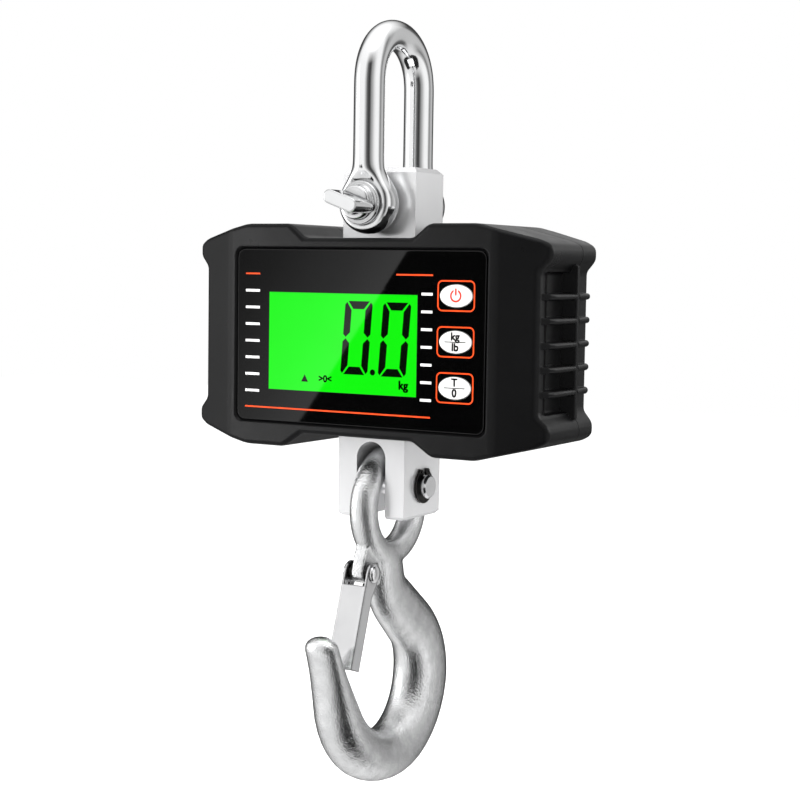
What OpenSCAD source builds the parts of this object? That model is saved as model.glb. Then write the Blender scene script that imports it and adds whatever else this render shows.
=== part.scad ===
// Hanging crane scale: a shackle carries a load cell inside a two-part
// housing, and a safety hook hangs from the load cell's lower fork.
// Origin: the load point inside the shackle's crown.
// +Z up, the display faces -Y, the hook's throat opens towards -Y.

/* [Shackle] */
// Diameter of the shackle's round bar
bar_d = 15; // [13:0.5:19]
// Height from the shackle pin's axis up to the inside of the crown
bow_reach = 75.7; // [60:0.1:110]
// Diameter of the two shackle eyes
ear_d = 30; // [25:0.5:38]
// Thickness of each shackle eye
ear_t = 13; // [10:0.5:16]
// Diameter of the shackle pin
shackle_pin_d = 16; // [13:0.5:20]
// Diameter of the pin's collar
collar_d = 21; // [20.5:0.5:26]
// Thickness of the pin's collar
collar_t = 3; // [2:0.5:5]
// Diameter of the neck between the collar and the flat head
boss_d = 16.5; // [13:0.5:20]
// Length of that neck
boss_len = 5; // [3:0.5:9]
// Width of the pin's flat head
head_w = 19; // [16:0.5:24]
// Thickness of the pin's flat head
head_t = 6.7; // [5:0.1:9]
// Length of the pin's flat head
head_len = 12.5; // [10:0.5:16]
// Diameter of the tie-wire hole through the head
head_hole_d = 5; // [3:0.5:6]
// How far the screwed-in head stands away from level, in degrees
head_tilt = 20; // [0:1:45]

/* [Load cell] */
// Width of the tongue between the shackle's legs
cell_w = 41.4; // [36:0.2:48]
// Thickness of the tongue
cell_t = 27; // [22:0.5:33]
// Height of the tongue's top above the shackle pin
tongue_rise = 17.8; // [14:0.2:22]
// Width of the fork that carries the hook pin
block_w = 38; // [32:0.5:46]
// Thickness of the fork, front to back
block_t = 35.5; // [30:0.5:43]
// Depth of the fork's underside below the hook pin
block_drop = 15.6; // [12.5:0.1:19]
// Chamfer on the tongue
cell_chamfer = 2.5; // [1:0.1:4]
// Chamfer on the fork
block_chamfer = 1.6; // [1:0.1:3]
// Width of the thinned, measuring length of the cell
sense_w = 33; // [28:0.5:36]
// Diameter of the gauge pockets
gauge_pocket_d = 22; // [16:0.5:26]
// Thickness of the web left between the two pockets
gauge_web = 9; // [6:0.5:11]

/* [Hook] */
// Diameter of the hook's eye bar
eye_bar_d = 14; // [11:0.5:17]
// Inside radius of the hook's eye
eye_r = 17; // [15:0.5:21]
// Diameter of the hook pin
hook_pin_d = 12; // [10:0.5:14.5]
// How far the hook pin stands out of each side of the fork
pin_tail = 5; // [4.5:0.1:8]
// Outside diameter of the pin's retaining rings
ring_d = 17; // [15:0.5:21]
// Thickness of a retaining ring
ring_t = 1.2; // [0.8:0.1:1.6]
// Drop from the eye's centre to the middle of the bar at the bottom of the bowl
bowl_drop = 126.4; // [120:0.2:152]
// How far the bowl's lowest point lies in front of the pin
bowl_front = 2.3; // [0:0.1:5]
// Radius of the bar's centreline in the front half of the bowl
bowl_front_r = 47.3; // [42:0.1:52]
// Radius of the bar's centreline in the rear half of the bowl
bowl_rear_r = 37; // [34:0.1:41]
// Radius of the back's centreline, above the bowl
back_r = 33.8; // [30:0.1:38]
// Angle from straight down at which the back begins, in degrees
back_from = 80; // [75:1:90]
// Angle at which the bowl turns into the straight tip, in degrees
tip_from = 67.5; // [62:0.5:72]
// Length of the straight tip
tip_len = 38; // [34:0.5:42]
// Distance of the neck in front of the pin
neck_front = 3.3; // [0:0.1:5]
// Half depth of the bar at the bottom of the bowl
bowl_half = 13; // [11:0.1:15]
// Half depth of the bar at the back
back_half = 17.6; // [15:0.1:19]
// Half depth of the tip
tip_half = 6; // [5:0.1:8]
// Half thickness of the bowl and back, across the hook
side_half = 13; // [10.5:0.1:14.5]
// Half thickness of the tip
tip_side = 9; // [7:0.1:10]
// Half depth of the neck below the eye
neck_half = 13; // [10:0.1:14]
// Half thickness of the neck
neck_side = 8.2; // [7:0.1:10]

/* [Latch] */
// Width of the latch over its two cheeks
latch_w = 14; // [12:0.2:18]
// Length from the rivet to the latch's free end
latch_len = 48; // [44:0.5:50]
// Depth of the latch's cheeks
latch_depth = 7.6; // [6:0.1:9]
// Sheet thickness of the latch
latch_sheet = 1.2; // [0.8:0.1:1.5]
// Diameter of the latch rivet
rivet_d = 4; // [3:0.1:5]
// Lean of the closed latch away from straight down, in degrees
latch_lean = 18; // [16:0.5:21]
// Distance of the latch's rivet in front of the pin
rivet_front = 25; // [23:0.1:27]
// Wire thickness of the latch spring
spring_wire = 1; // [0.7:0.1:1.1]

/* [Housing] */
// Overall width of the housing
housing_w = 198.8; // [165:0.2:240]
// Overall height of the housing
housing_h = 110.4; // [92:0.2:133]
// Overall depth of the housing
housing_t = 68; // [56:0.5:82]
// Wall thickness
wall = 3.5; // [3:0.1:4.2]
// Width of each tapered end, seen from the front
end_taper_w = 25; // [20:0.5:30]
// How far each tapered end falls back
end_taper_d = 8.4; // [6:0.1:11]
// Width of the sloping top corners
slope_w = 34.4; // [28:0.2:38]
// Drop of the sloping top corners
slope_drop = 7.4; // [5:0.1:9]
// Height of the thick shoulder at each corner
shoulder_h = 9; // [6:0.5:12]
// Depth of the recess in each end
end_recess = 5.4; // [4:0.1:6.5]
// Width of the top notch at the housing's top
top_notch_w = 78; // [70:0.5:90]
// Width of the bottom notch at the housing's underside
bottom_notch_w = 84; // [76:0.5:90]
// Depth of the bottom notch
bottom_notch = 7; // [5:0.1:9]
// Height of the shackle pin above the housing's top
pin_rise = 10; // [9:0.1:11.5]
// Distance of the hook pin below the housing's underside
hook_pin_fall = 18.5; // [17:0.1:22]
// Position of the joint between the two shells, behind the middle
parting = 8.7; // [5:0.1:12]
// Number of fins on each end
fin_count = 5; // [3:1:6]
// Spacing of the fins
fin_pitch = 11.3; // [9:0.1:12.5]
// Thickness of a fin
fin_t = 3; // [2:0.1:4]

/* [Panel] */
// Margin between the panel and the housing's flat front, at each side
panel_side = 4.4; // [3:0.1:8]
// Margin above the panel
panel_top = 12.7; // [11:0.1:16]
// Margin below the panel
panel_bottom = 12.6; // [11:0.1:16]
// Thickness of the panel
panel_t = 1.5; // [1:0.1:2]
// How far the panel lies below the housing's front
panel_sunk = 0.7; // [0.3:0.1:1]
// Margin from the panel's left edge to the display window
window_left = 19.1; // [16:0.1:24]
// Margin from the panel's right edge to the display window
window_right = 36.3; // [33:0.1:40]
// Margin from the panel's top edge to the display window
window_top = 21.1; // [18:0.1:24]
// Margin from the panel's bottom edge to the display window
window_bottom = 15.8; // [12:0.1:20]
// Width of a key
key_w = 17.1; // [13:0.1:19]
// Height of a key
key_h = 10.5; // [8:0.1:12]
// Spacing of the keys
key_pitch = 21.5; // [18:0.1:23]
// Distance from the panel's right edge to the keys' centres
key_edge = 15.6; // [13.5:0.1:18]
// How far a key goes in
key_travel = 0.6; // [0.4:0.1:0.8]

/* [Battery] */
// Diameter of a battery cell
battery_d = 14.4; // [12:0.1:14.6]
// Length of a battery cell
battery_len = 50.5; // [42:0.5:51]
// Distance from the middle of the scale to the middle of the battery bay
bay_x = 48; // [44:0.5:50]
// Thickness of the battery door
door_t = 2; // [1.5:0.1:2.5]

/* [Hidden] */

$fn = 64;
eps = 0.01;
running_gap = 0.08;   // radial, shackle pin in the tongue
pin_gap = 0.1;        // radial, pins and screws in their holes
hang_gap = 0.06;      // between the eye and the pin it hangs on
jaw_gap = 3;          // between the tongue and each shackle leg
ear_gap = 1.9;        // between a shackle eye and the notch floor
slot_side_gap = 1.2;  // between the hook's eye and the fork's slot
slot_roof_gap = 2.4;  // above the eye
cell_gap = 0.5;       // load cell in the housing's openings
key_gap = 0.36;       // around a key
fit_gap = 0.2;        // loose pieces in their seats

// Heights
pin_z = -bow_reach;
top_z = pin_z - pin_rise;
bottom_z = top_z - housing_h;
mid_z = (top_z + bottom_z) / 2;
low_z = bottom_z - hook_pin_fall;
top_notch = ear_d / 2 + ear_gap - pin_rise;
top_floor = top_z - top_notch;
bottom_floor = bottom_z + bottom_notch;
notch_slope = 8.5;

// Depths
front_y = -housing_t / 2;
rear_y = housing_t / 2;
leg_y = cell_t / 2 + jaw_gap + bar_d / 2;
ear_in = cell_t / 2 + jaw_gap;
ear_out = ear_in + ear_t;
inner_front = front_y + wall;
inner_rear = rear_y - wall;
seat_y = front_y + panel_sunk + panel_t;

// Panel and display
flat_half = housing_w / 2 - end_taper_w;
panel_w = 2 * (flat_half - panel_side);
panel_h = housing_h - panel_top - panel_bottom;
panel_hi = top_z - panel_top;
panel_lo = panel_hi - panel_h;
panel_mid = (panel_hi + panel_lo) / 2;
window_x0 = -panel_w / 2 + window_left;
window_x1 = panel_w / 2 - window_right;
window_z0 = panel_lo + window_bottom;
window_z1 = panel_hi - window_top;
window_w = window_x1 - window_x0;
window_h = window_z1 - window_z0;
window_x = (window_x0 + window_x1) / 2;
window_z = (window_z0 + window_z1) / 2;
glass_over = 2;       // glass past the window, each side
glass_t = 2.2;
light_t = 3;
bezel_wall = 3;
board_y = inner_front + glass_t + light_t;
board_t = 1.6;
board_w = panel_w - 8;
board_h = panel_h - 10;
board_back = board_y + board_t;
board_hole = 5;       // from the board's edges to its screws
key_x = panel_w / 2 - key_edge;
key_zs = [panel_mid + key_pitch, panel_mid, panel_mid - key_pitch];
key_proud = 0.4;
key_flange = 1.5;
key_flange_t = 1;
switch_t = 1.8;
switch_button = 0.4;
key_rest_gap = 0.3;   // left between key and switch when pressed

// Load cell
seal_t = 4;
seal_w = 5;
shackle_bore_d = shackle_pin_d + 2 * running_gap;
bracket_h = 10;
bracket_top = top_floor - wall - seal_t - 1;
bracket_z = bracket_top - bracket_h / 2;
sense_top = bracket_top - bracket_h - 1;
fork_top = bottom_floor + wall + seal_t + 1;
slot_w = eye_bar_d + 2 * slot_side_gap;
slot_roof = low_z + hook_pin_d / 2 + eye_bar_d + slot_roof_gap;
pocket_depth = (cell_t - gauge_web) / 2;
cover_t = 1;
bracket_t = 2;
bracket_half = cell_w / 2 + 23;
cell_screw_x = 10;
post_x = cell_w / 2 + 17;
m4_d = 4;
m4_head = 7;
m4_head_t = 2.6;
m4 = [m4_d, m4_head, m4_head_t];

// Housing screws
screw_x = housing_w / 2 - 19;
screw_z = housing_h / 2 - 15;
screw_sink = 5;
post_d = 9;

// Ends of the housing, and its joint
rib_t = 3.3;          // upright rib at each end
rib_proud = 4.4;      // fins and rib past the end's wall
gasket_d = 1.2;

// Small screws: shank, head and height of the head
case_screw = [3.5, m4_head, m4_head_t];
board_screw = [2, 4.4, 1.6];
door_screw = [2.5, 5.6, 1.6];
door_screw_sink = 0.8;

// Electronics
eye_window_d = 5;     // hole in the shell behind the receiver
receiver_z = panel_hi - 7;
buzzer_d = 12;
buzzer_z = panel_mid + 18;
connector_x = -cell_w / 2 - 8;
connector_z = panel_mid - 14;
lead_d = 1.6;
lead_gap = 0.3;       // between a lead's end and what it is soldered to

// Battery bay
bay_w = 2 * battery_d + 2;
bay_h = battery_len + 4;
bay_d = 2 * battery_d + 2;
bay_wall = 2;
seal_step = 1;        // thickness of the door's seal
door_seat = door_t + seal_step;
door_w = bay_w + 2 * 5;
door_h = bay_h + 2 * 8;
door_screw_z = bay_h / 2 + 4.6;
bay_front = rear_y - door_seat - bay_d;

// Charger socket
socket_x = -bay_x;
socket_z = mid_z - housing_h / 4;
socket_d = 11;
socket_flange_d = 15;
socket_flange_t = 1.6;
socket_bore = 5.6;
socket_len = 13;

// Hook
eye_mid = eye_r + eye_bar_d / 2;
eye_z = low_z - (eye_r - hook_pin_d / 2 - hang_gap);
bowl_low = [-bowl_front, eye_z - bowl_drop];
shank_angle = 140;
neck_r = 22;

// Latch rivet, in front of the neck
rivet_y = -rivet_front;
rivet_z = eye_z - eye_mid - 6.8;
web_front = 5.6;      // from the rivet's axis to the latch's outer face
ear_r = 6;
rivet_head_d = 9;
rivet_head_t = 2.4;
lug_r = 5;
latch_out = latch_w / 2;
latch_in = latch_out - latch_sheet;
spring_turns = 2;     // on each side of the lug
coil_gap = 0.1;       // between the lug and the coil
lug_t = 2 * (latch_in - spring_turns * spring_wire - coil_gap - 0.4);

/* ---- shared shapes ---- */

// Polygon drawn in X-Z, given thickness along Y from y0 to y1
module along_y(y0, y1) {
    translate([0, y1, 0]) rotate([90, 0, 0]) linear_extrude(y1 - y0) children();
}

// Polygon drawn in Y-Z, given thickness along X from x0 to x1
module along_x(x0, x1) {
    translate([x0, 0, 0]) rotate([90, 0, 90]) linear_extrude(x1 - x0) children();
}

// Round bar along Y
module rod_y(d, y0, y1, x = 0, z = 0) {
    translate([x, y0, z]) rotate([-90, 0, 0]) cylinder(d = d, h = y1 - y0);
}

// Round bar along X
module rod_x(d, x0, x1, y = 0, z = 0) {
    translate([x0, y, z]) rotate([0, 90, 0]) cylinder(d = d, h = x1 - x0);
}

// Box between two corners
module box(a, b) {
    translate(a) cube(b - a);
}

// Smooth line from a to d, leaving towards b and arriving from c
function bend(a, b, c, d, n = 16) = [for (i = [0 : n]) let (t = i / n, u = 1 - t)
    a * u * u * u + b * 3 * u * u * t + c * 3 * u * t * t + d * t * t * t];

// Faces of a closed skin over a number of rings
function skin(rings, sides) = concat(
    [for (i = [0 : rings - 2]) for (j = [0 : sides - 1])
        let (a = i * sides + j, b = i * sides + (j + 1) % sides, c = a + sides, d = b + sides)
        each [[a, b, c], [b, d, c]]],
    [[for (j = [sides - 1 : -1 : 0]) j]], [[for (j = [0 : sides - 1]) (rings - 1) * sides + j]]);

// Round wire along a line
module tube(path, d) {
    sides = 8;
    n = len(path);
    points = [for (i = [0 : n - 1]) let (along = path[min(i + 1, n - 1)] - path[max(i - 1, 0)],
            u = cross(along, [0.3, 0.1, 1]), v = cross(along, u)) for (j = [0 : sides - 1])
        path[i] + d / 2 * (u / norm(u) * cos(45 * j) + v / norm(v) * sin(45 * j))];
    polyhedron(points, skin(n, sides));
}

// Rectangle with round corners, centred on [x, y]
module round_rect(w, h, r, x = 0, y = 0) {
    translate([x, y]) offset(r = r, $fn = 48) square([w - 2 * r, h - 2 * r], center = true);
}

// Ellipse
module oval(w, h, n = 64) {
    polygon([for (i = [0 : n - 1]) [w / 2 * cos(360 * i / n), h / 2 * sin(360 * i / n)]]);
}

// Rectangle with chamfered corners, centred
module cut_rect(w, h, c) {
    polygon([[-w / 2 + c, -h / 2], [w / 2 - c, -h / 2], [w / 2, -h / 2 + c], [w / 2, h / 2 - c],
        [w / 2 - c, h / 2], [-w / 2 + c, h / 2], [-w / 2, h / 2 - c], [-w / 2, -h / 2 + c]]);
}

// Pan-head screw along +Y, its shank's end at y0 and the underside of its head at y1
module screw_y(size, y0, y1, x, z) {
    head = size[1];
    head_t = size[2];
    rod_y(size[0], y0, y1 + eps, x, z);
    difference() {
        rod_y(head, y1, y1 + head_t, x, z);
        translate([x, y1 + head_t, z]) rotate([90, 0, 0])
            cylinder(d = head * 0.5, h = head_t * 0.9, center = true, $fn = 6);
    }
}

/* ---- shackle ---- */

// Half of an eye's section, from its axis outwards
module eye_section(r, t, round) {
    square([r - round, t]);
    translate([0, round]) square([r, t - 2 * round]);
    for (v = [round, t - round]) translate([r - round, v]) circle(r = round);
}

module shackle_leg(side) {
    flare_z = pin_z + ear_d * 0.73;
    translate([0, side * leg_y, flare_z]) cylinder(d = bar_d, h = -ear_in - flare_z);
    hull() {
        translate([0, side * leg_y, flare_z]) cylinder(d = bar_d, h = 0.5, $fn = 32);
        translate([0, side * (ear_in + ear_t / 2), pin_z + ear_d * 0.3]) rotate([90, 0, 0])
            cylinder(d = ear_d * 0.68, h = ear_t - 2, center = true, $fn = 32);
    }
    translate([0, side > 0 ? ear_in : -ear_out, pin_z]) rotate([-90, 0, 0])
        rotate_extrude() eye_section(ear_d / 2, ear_t, 3);
}

module shackle_bow() {
    color("lightgray") difference() {
        union() {
            translate([0, 0, -ear_in]) rotate([90, 0, 90])
                rotate_extrude(angle = 180) translate([leg_y, 0]) circle(d = bar_d);
            for (side = [-1, 1]) shackle_leg(side);
        }
        rod_y(shackle_pin_d + 2 * pin_gap, -ear_out - 1, ear_out + 1, 0, pin_z);
        // seat for the pin's collar
        rod_y(collar_d + 1, -ear_out - collar_t - 2, -ear_out, 0, pin_z);
        for (side = [0, 1]) mirror([0, side, 0])
            rod_y(ear_d + bar_d, 0, ear_in, 0, pin_z);
    }
}

module shackle_pin() {
    color("gainsboro") translate([0, 0, pin_z]) rotate([0, head_tilt, 0]) difference() {
        union() {
            rod_y(shackle_pin_d, -ear_out - eps, ear_out + 1);
            translate([0, ear_out + 1, 0]) rotate([-90, 0, 0])
                cylinder(d1 = shackle_pin_d, d2 = shackle_pin_d - 3, h = 1.5);
            rod_y(collar_d, -ear_out - collar_t, -ear_out);
            rod_y(boss_d, -ear_out - collar_t - boss_len, -ear_out - collar_t + eps);
            along_y(-ear_out - collar_t - boss_len - head_len, -ear_out - collar_t - 2) {
                square([head_w - head_t, head_t], center = true);
                for (s = [-1, 1]) translate([s * (head_w - head_t) / 2, 0]) circle(d = head_t);
            }
        }
        translate([0, -ear_out - collar_t - boss_len - head_len / 2, 0])
            cylinder(d = head_hole_d, h = head_w, center = true);
    }
}

/* ---- load cell ---- */

// Bar of the load cell between two heights, chamfered at both ends
module cell_bar(w, t, z0, z1, chamfer) {
    intersection() {
        translate([0, 0, (z0 + z1) / 2]) along_y(-t, t) cut_rect(w, z1 - z0, chamfer);
        translate([0, 0, (z0 + z1) / 2]) along_x(-w, w) cut_rect(t, z1 - z0, chamfer);
    }
}

module load_cell() {
    color("silver") difference() {
        union() {
            cell_bar(cell_w, cell_t, sense_top, pin_z + tongue_rise, cell_chamfer);
            translate([-sense_w / 2, -cell_t / 2, fork_top - cell_chamfer])
                cube([sense_w, cell_t, sense_top - fork_top + 3 * cell_chamfer]);
            cell_bar(block_w, block_t, low_z - block_drop, fork_top, block_chamfer);
        }
        rod_y(shackle_bore_d, -cell_t, cell_t, 0, pin_z);
        rod_x(hook_pin_d + 2 * pin_gap, -block_w, block_w, 0, low_z);
        // slot for the hook's eye, round at its roof
        box([-slot_w / 2, -block_t, low_z - block_drop - 1], [slot_w / 2, block_t, slot_roof - slot_w / 2]);
        rod_y(slot_w, -block_t, block_t, 0, slot_roof - slot_w / 2);
        for (side = [0, 1]) mirror([0, side, 0])
            rod_y(gauge_pocket_d, gauge_web / 2, cell_t, 0, mid_z);
        for (side = [-1, 1])
            rod_y(m4_d + 2 * pin_gap, cell_t / 2 - 9, cell_t, side * cell_screw_x, bracket_z);
    }
}

module strain_gauges() {
    foil = 0.4;
    color("darkorange") for (side = [-1, 1]) for (x = [-5, 5])
        translate([x, side * (gauge_web + foil) / 2, mid_z]) cube([6, foil, 9], center = true);
}

module gauge_covers() {
    color("dimgray") for (side = [0, 1]) mirror([0, side, 0])
        rod_y(gauge_pocket_d - 2 * fit_gap, cell_t / 2 - cover_t, cell_t / 2, 0, mid_z);
}

module cell_bracket() {
    color("silver") difference() {
        box([-bracket_half, cell_t / 2, bracket_z - bracket_h / 2],
            [bracket_half, cell_t / 2 + bracket_t, bracket_z + bracket_h / 2]);
        for (side = [-1, 1]) for (x = [cell_screw_x, post_x])
            rod_y(m4_d + 2 * pin_gap, cell_t / 2 - 1, cell_t, side * x, bracket_z);
    }
}

module bracket_screws() {
    y = cell_t / 2;
    color("gray") for (side = [-1, 1]) {
        screw_y(m4, y - 7, y + bracket_t, side * cell_screw_x, bracket_z);
        translate([0, 2 * y, 0]) mirror([0, 1, 0])
            screw_y(m4, y - bracket_t - 7, y, side * post_x, bracket_z);
    }
}

// Rubber frame around the cell, against the inside of the housing
module seal_frame(w, t, z) {
    color("black") difference() {
        translate([0, 0, z]) linear_extrude(seal_t) square([w + 2 * seal_w, t + 2 * seal_w], center = true);
        translate([0, 0, z - 1]) linear_extrude(seal_t + 2) square([w, t], center = true);
    }
}

module top_seal() {
    seal_frame(cell_w, cell_t, top_floor - wall - seal_t);
}

module bottom_seal() {
    seal_frame(block_w, block_t, bottom_floor + wall);
}

/* ---- hook ---- */

module hook_pin() {
    half = block_w / 2 + pin_tail;
    groove = block_w / 2 + 0.3;
    color("gainsboro") difference() {
        union() {
            rod_x(hook_pin_d, -half + 1, half - 1, 0, low_z);
            for (side = [0, 1]) mirror([side, 0, 0]) translate([half - 1, 0, low_z]) rotate([0, 90, 0])
                cylinder(d1 = hook_pin_d, d2 = hook_pin_d - 2, h = 1);
        }
        for (side = [0, 1]) mirror([side, 0, 0]) translate([groove, 0, low_z]) rotate([0, 90, 0])
            difference() {
                cylinder(d = hook_pin_d + 2, h = ring_t + 0.2);
                translate([0, 0, -1]) cylinder(d = hook_pin_d - 1.2, h = ring_t + 2);
            }
    }
}

// Open ring with two lugs, in the pin's groove
module retaining_rings() {
    gap = 50;
    mid = (ring_d + hook_pin_d - 1) / 4;
    color("#202020") for (side = [0, 1]) mirror([side, 0, 0])
        translate([block_w / 2 + 0.4, 0, low_z]) rotate([0, 90, 0]) rotate([0, 0, 180]) difference() {
            union() {
                rotate([0, 0, gap / 2]) rotate_extrude(angle = 360 - gap)
                    translate([(hook_pin_d - 1) / 2, 0]) square([(ring_d - hook_pin_d + 1) / 2, ring_t]);
                for (s = [-1, 1]) rotate([0, 0, s * gap / 2]) translate([mid + 0.8, 0, 0])
                    cylinder(d = 3.4, h = ring_t, $fn = 32);
            }
            for (s = [-1, 1]) rotate([0, 0, s * gap / 2]) translate([mid + 1, 0, -1])
                cylinder(d = 1.4, h = ring_t + 2, $fn = 24);
        }
}

// Point at an angle from straight down, and the direction outwards there
function out(a) = [sin(a), -cos(a)];
function ease(t) = t * t * (3 - 2 * t);
function mix(a, b, t) = a + (b - a) * t;

// Centres of the bowl's two arcs and of the back's arc, and the path up to the eye
front_mid = bowl_low - out(0) * bowl_front_r;
rear_mid = bowl_low - out(0) * bowl_rear_r;
back_mid = rear_mid + out(back_from) * (bowl_rear_r - back_r);
tip_start = front_mid + out(-tip_from) * bowl_front_r;
tip_along = [-cos(tip_from), sin(tip_from)];
shank_start = back_mid + out(shank_angle) * back_r;
shank_len = (shank_start[0] - neck_r * (1 - sin(shank_angle)) + neck_front) / -cos(shank_angle);
shank_end = shank_start + shank_len * [cos(shank_angle), sin(shank_angle)];
neck_mid = shank_end + out(shank_angle) * neck_r;

// Each station: centre [y, z], outward angle, half depth, half thickness
hook_stations = concat(
    [for (i = [0 : 9]) let (t = ease(i / 16)) [tip_start + tip_along * tip_len * (1 - i / 10), -tip_from,
        mix(tip_half, bowl_half, t), mix(tip_side, side_half, t)]],
    [for (i = [0 : 17]) let (a = i < 9 ? mix(-tip_from, 0, i / 9) : mix(0, back_from, (i - 9) / 9),
            mid = i < 9 ? front_mid : rear_mid, r = i < 9 ? bowl_front_r : bowl_rear_r,
            t = ease(min(1, (i + 10) / 16)), b = ease(max(0, (i - 6) / 12)))
        [mid + out(a) * r, a, mix(mix(tip_half, bowl_half, t), back_half, b), mix(tip_side, side_half, t)]],
    [for (i = [0 : 8]) let (a = mix(back_from, shank_angle, i / 8), t = ease(i / 16))
        [back_mid + out(a) * back_r, a, mix(back_half, neck_half, t), mix(side_half, neck_side, t)]],
    [for (i = [1 : 3]) let (t = ease((8 + i) / 16)) [mix(shank_start, shank_end, i / 3), shank_angle,
        mix(back_half, neck_half, t), mix(side_half, neck_side, t)]],
    [for (i = [1 : 5]) let (a = mix(shank_angle, 90, i / 5), t = ease((11 + i) / 16))
        [neck_mid - out(a) * neck_r, a, mix(back_half, neck_half, t), mix(side_half, neck_side, t)]],
    [[[-neck_front, eye_z - eye_mid + 1], 90, neck_half - 2, neck_side - 1.5]]);

// Extra rings that round off the tip
tip_station = hook_stations[0];
tip_dome = [for (k = [0.97, 0.85, 0.6, 0.3]) let (q = sqrt(1 - k * k))
    [tip_station[0] + tip_along * tip_half * k, -tip_from, tip_half * q, tip_side * q]];

// Closed skin through oval sections
module swept(stations, sides) {
    rings = len(stations);
    points = [for (s = stations) for (j = [0 : sides - 1]) let (a = 360 * j / sides,
            c = s[0] + out(s[1]) * s[2] * cos(a)) [s[3] * sin(a), c[0], c[1]]];
    polyhedron(points, skin(rings, sides));
}

module hook() {
    color("lightgray") difference() {
        union() {
            swept(concat(tip_dome, hook_stations), 24);
            translate([0, 0, eye_z]) rotate([90, 0, 90]) rotate_extrude()
                translate([eye_mid, 0]) circle(d = eye_bar_d);
            // lug for the latch's rivet
            rod_x(2 * lug_r, -lug_t / 2, lug_t / 2, rivet_y, rivet_z);
            along_x(-lug_t / 2, lug_t / 2) polygon([[rivet_y - lug_r, rivet_z],
                [rivet_y - lug_r + 2, rivet_z + 8], [rivet_y - lug_r + 5, rivet_z + 14],
                [-neck_front, rivet_z + 12], [-neck_front, rivet_z - 10], [rivet_y, rivet_z - lug_r]]);
        }
        rod_x(rivet_d + 2 * pin_gap, -latch_w, latch_w, rivet_y, rivet_z);
    }
}

// Places a shape drawn in the latch's own frame: +Y inwards, -Z along the latch
module latch_place() {
    translate([0, rivet_y, rivet_z]) rotate([-latch_lean, 0, 0]) children();
}

module latch() {
    rise = 0.6;
    color("gainsboro") latch_place() difference() {
        union() {
            // cheeks with round ears
            for (side = [0, 1]) mirror([side, 0, 0]) {
                rod_x(2 * ear_r - 1, latch_in, latch_out);
                along_x(latch_in, latch_out) polygon([[-web_front, -7], [-web_front + rise, 0],
                    [ear_r - 1, -1], [latch_depth - web_front, -12],
                    [latch_depth - web_front, -latch_len], [-web_front, -latch_len]]);
            }
            box([-latch_out, -web_front, -latch_len], [latch_out, -web_front + latch_sheet, -7]);
        }
        rod_x(rivet_d + 2 * running_gap, -latch_w, latch_w);
    }
}

module latch_rivet() {
    flat = latch_out + 0.1;
    dome = [for (a = [0 : 15 : 90]) [rivet_head_d / 2 * cos(a), 0.4 + (rivet_head_t - 0.4) * sin(a)]];
    color("gainsboro") {
        rod_x(rivet_d, -flat - eps, flat + eps, rivet_y, rivet_z);
        for (side = [-1, 1]) translate([side * flat, rivet_y, rivet_z]) rotate([0, side * 90, 0])
            rotate_extrude() polygon(concat([[0, 0], [rivet_head_d / 2, 0]], dome));
    }
}

module latch_spring() {
    coil_in = rivet_d / 2 + 0.4;
    color("#303030") for (side = [0, 1]) mirror([side, 0, 0]) {
        for (i = [0 : spring_turns - 1])
            translate([lug_t / 2 + spring_wire * (i + 0.5) + coil_gap, rivet_y, rivet_z]) rotate([0, 90, 0])
                rotate_extrude($fn = 48) translate([coil_in + spring_wire / 2, 0])
                    circle(d = spring_wire, $fn = 24);
    }
}

/* ---- housing ---- */

// Front view of the housing, centred on its middle
module outline() {
    w = housing_w / 2;
    h = housing_h / 2;
    corner = [[w - slope_w, h], [w - 4.7, h - slope_drop], [w, h - slope_drop - 2.8],
        [w, h - slope_drop - shoulder_h], [w - end_recess, h - slope_drop - shoulder_h - 5.5]];
    function low(p) = [p[0], -p[1]];
    function left(p) = [-p[0], p[1]];
    top = concat([[top_notch_w / 2 - notch_slope, h - top_notch], [top_notch_w / 2, h]], corner);
    under = concat([[bottom_notch_w / 2 - 10.7, -h + bottom_notch], [bottom_notch_w / 2, -h]],
        [for (p = corner) low(p)]);
    n = len(top);
    round = 2;
    offset(r = -round) offset(r = 2 * round) offset(r = -round) polygon(concat(top,
        [for (i = [n - 1 : -1 : 0]) under[i]], [for (p = under) left(p)],
        [for (i = [n - 1 : -1 : 0]) left(top[i])]));
}

// Plan view of the housing
module plan() {
    w = housing_w / 2;
    f = w - end_taper_w;
    d = housing_t / 2;
    e = d - end_taper_d;
    polygon([[-f, -d], [f, -d], [w, -e], [w, e], [f, d], [-f, d], [-w, e], [-w, -e]]);
}

// The housing's solid, drawn in by a wall
module body(inset, y0, y1) {
    intersection() {
        translate([0, 0, mid_z]) along_y(y0, y1) offset(delta = -inset, $fn = 24) outline();
        translate([0, 0, bottom_z]) linear_extrude(housing_h) offset(delta = -inset) plan();
    }
}

// Dished wall between the front of each end and its upright rib
module end_dish() {
    w = housing_w / 2 - end_recess;
    half = housing_h / 2 - slope_drop - shoulder_h - 5.5;
    deep = 3.5;
    rib_front = parting - rib_t;
    front = front_y + end_taper_d + 4;
    translate([0, 0, mid_z - half]) linear_extrude(2 * half)
        polygon([[w + 1, front], [w, front], [w - deep, front + 8], [w - deep, rib_front - 4],
            [w, rib_front], [w + 1, rib_front]]);
}

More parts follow.
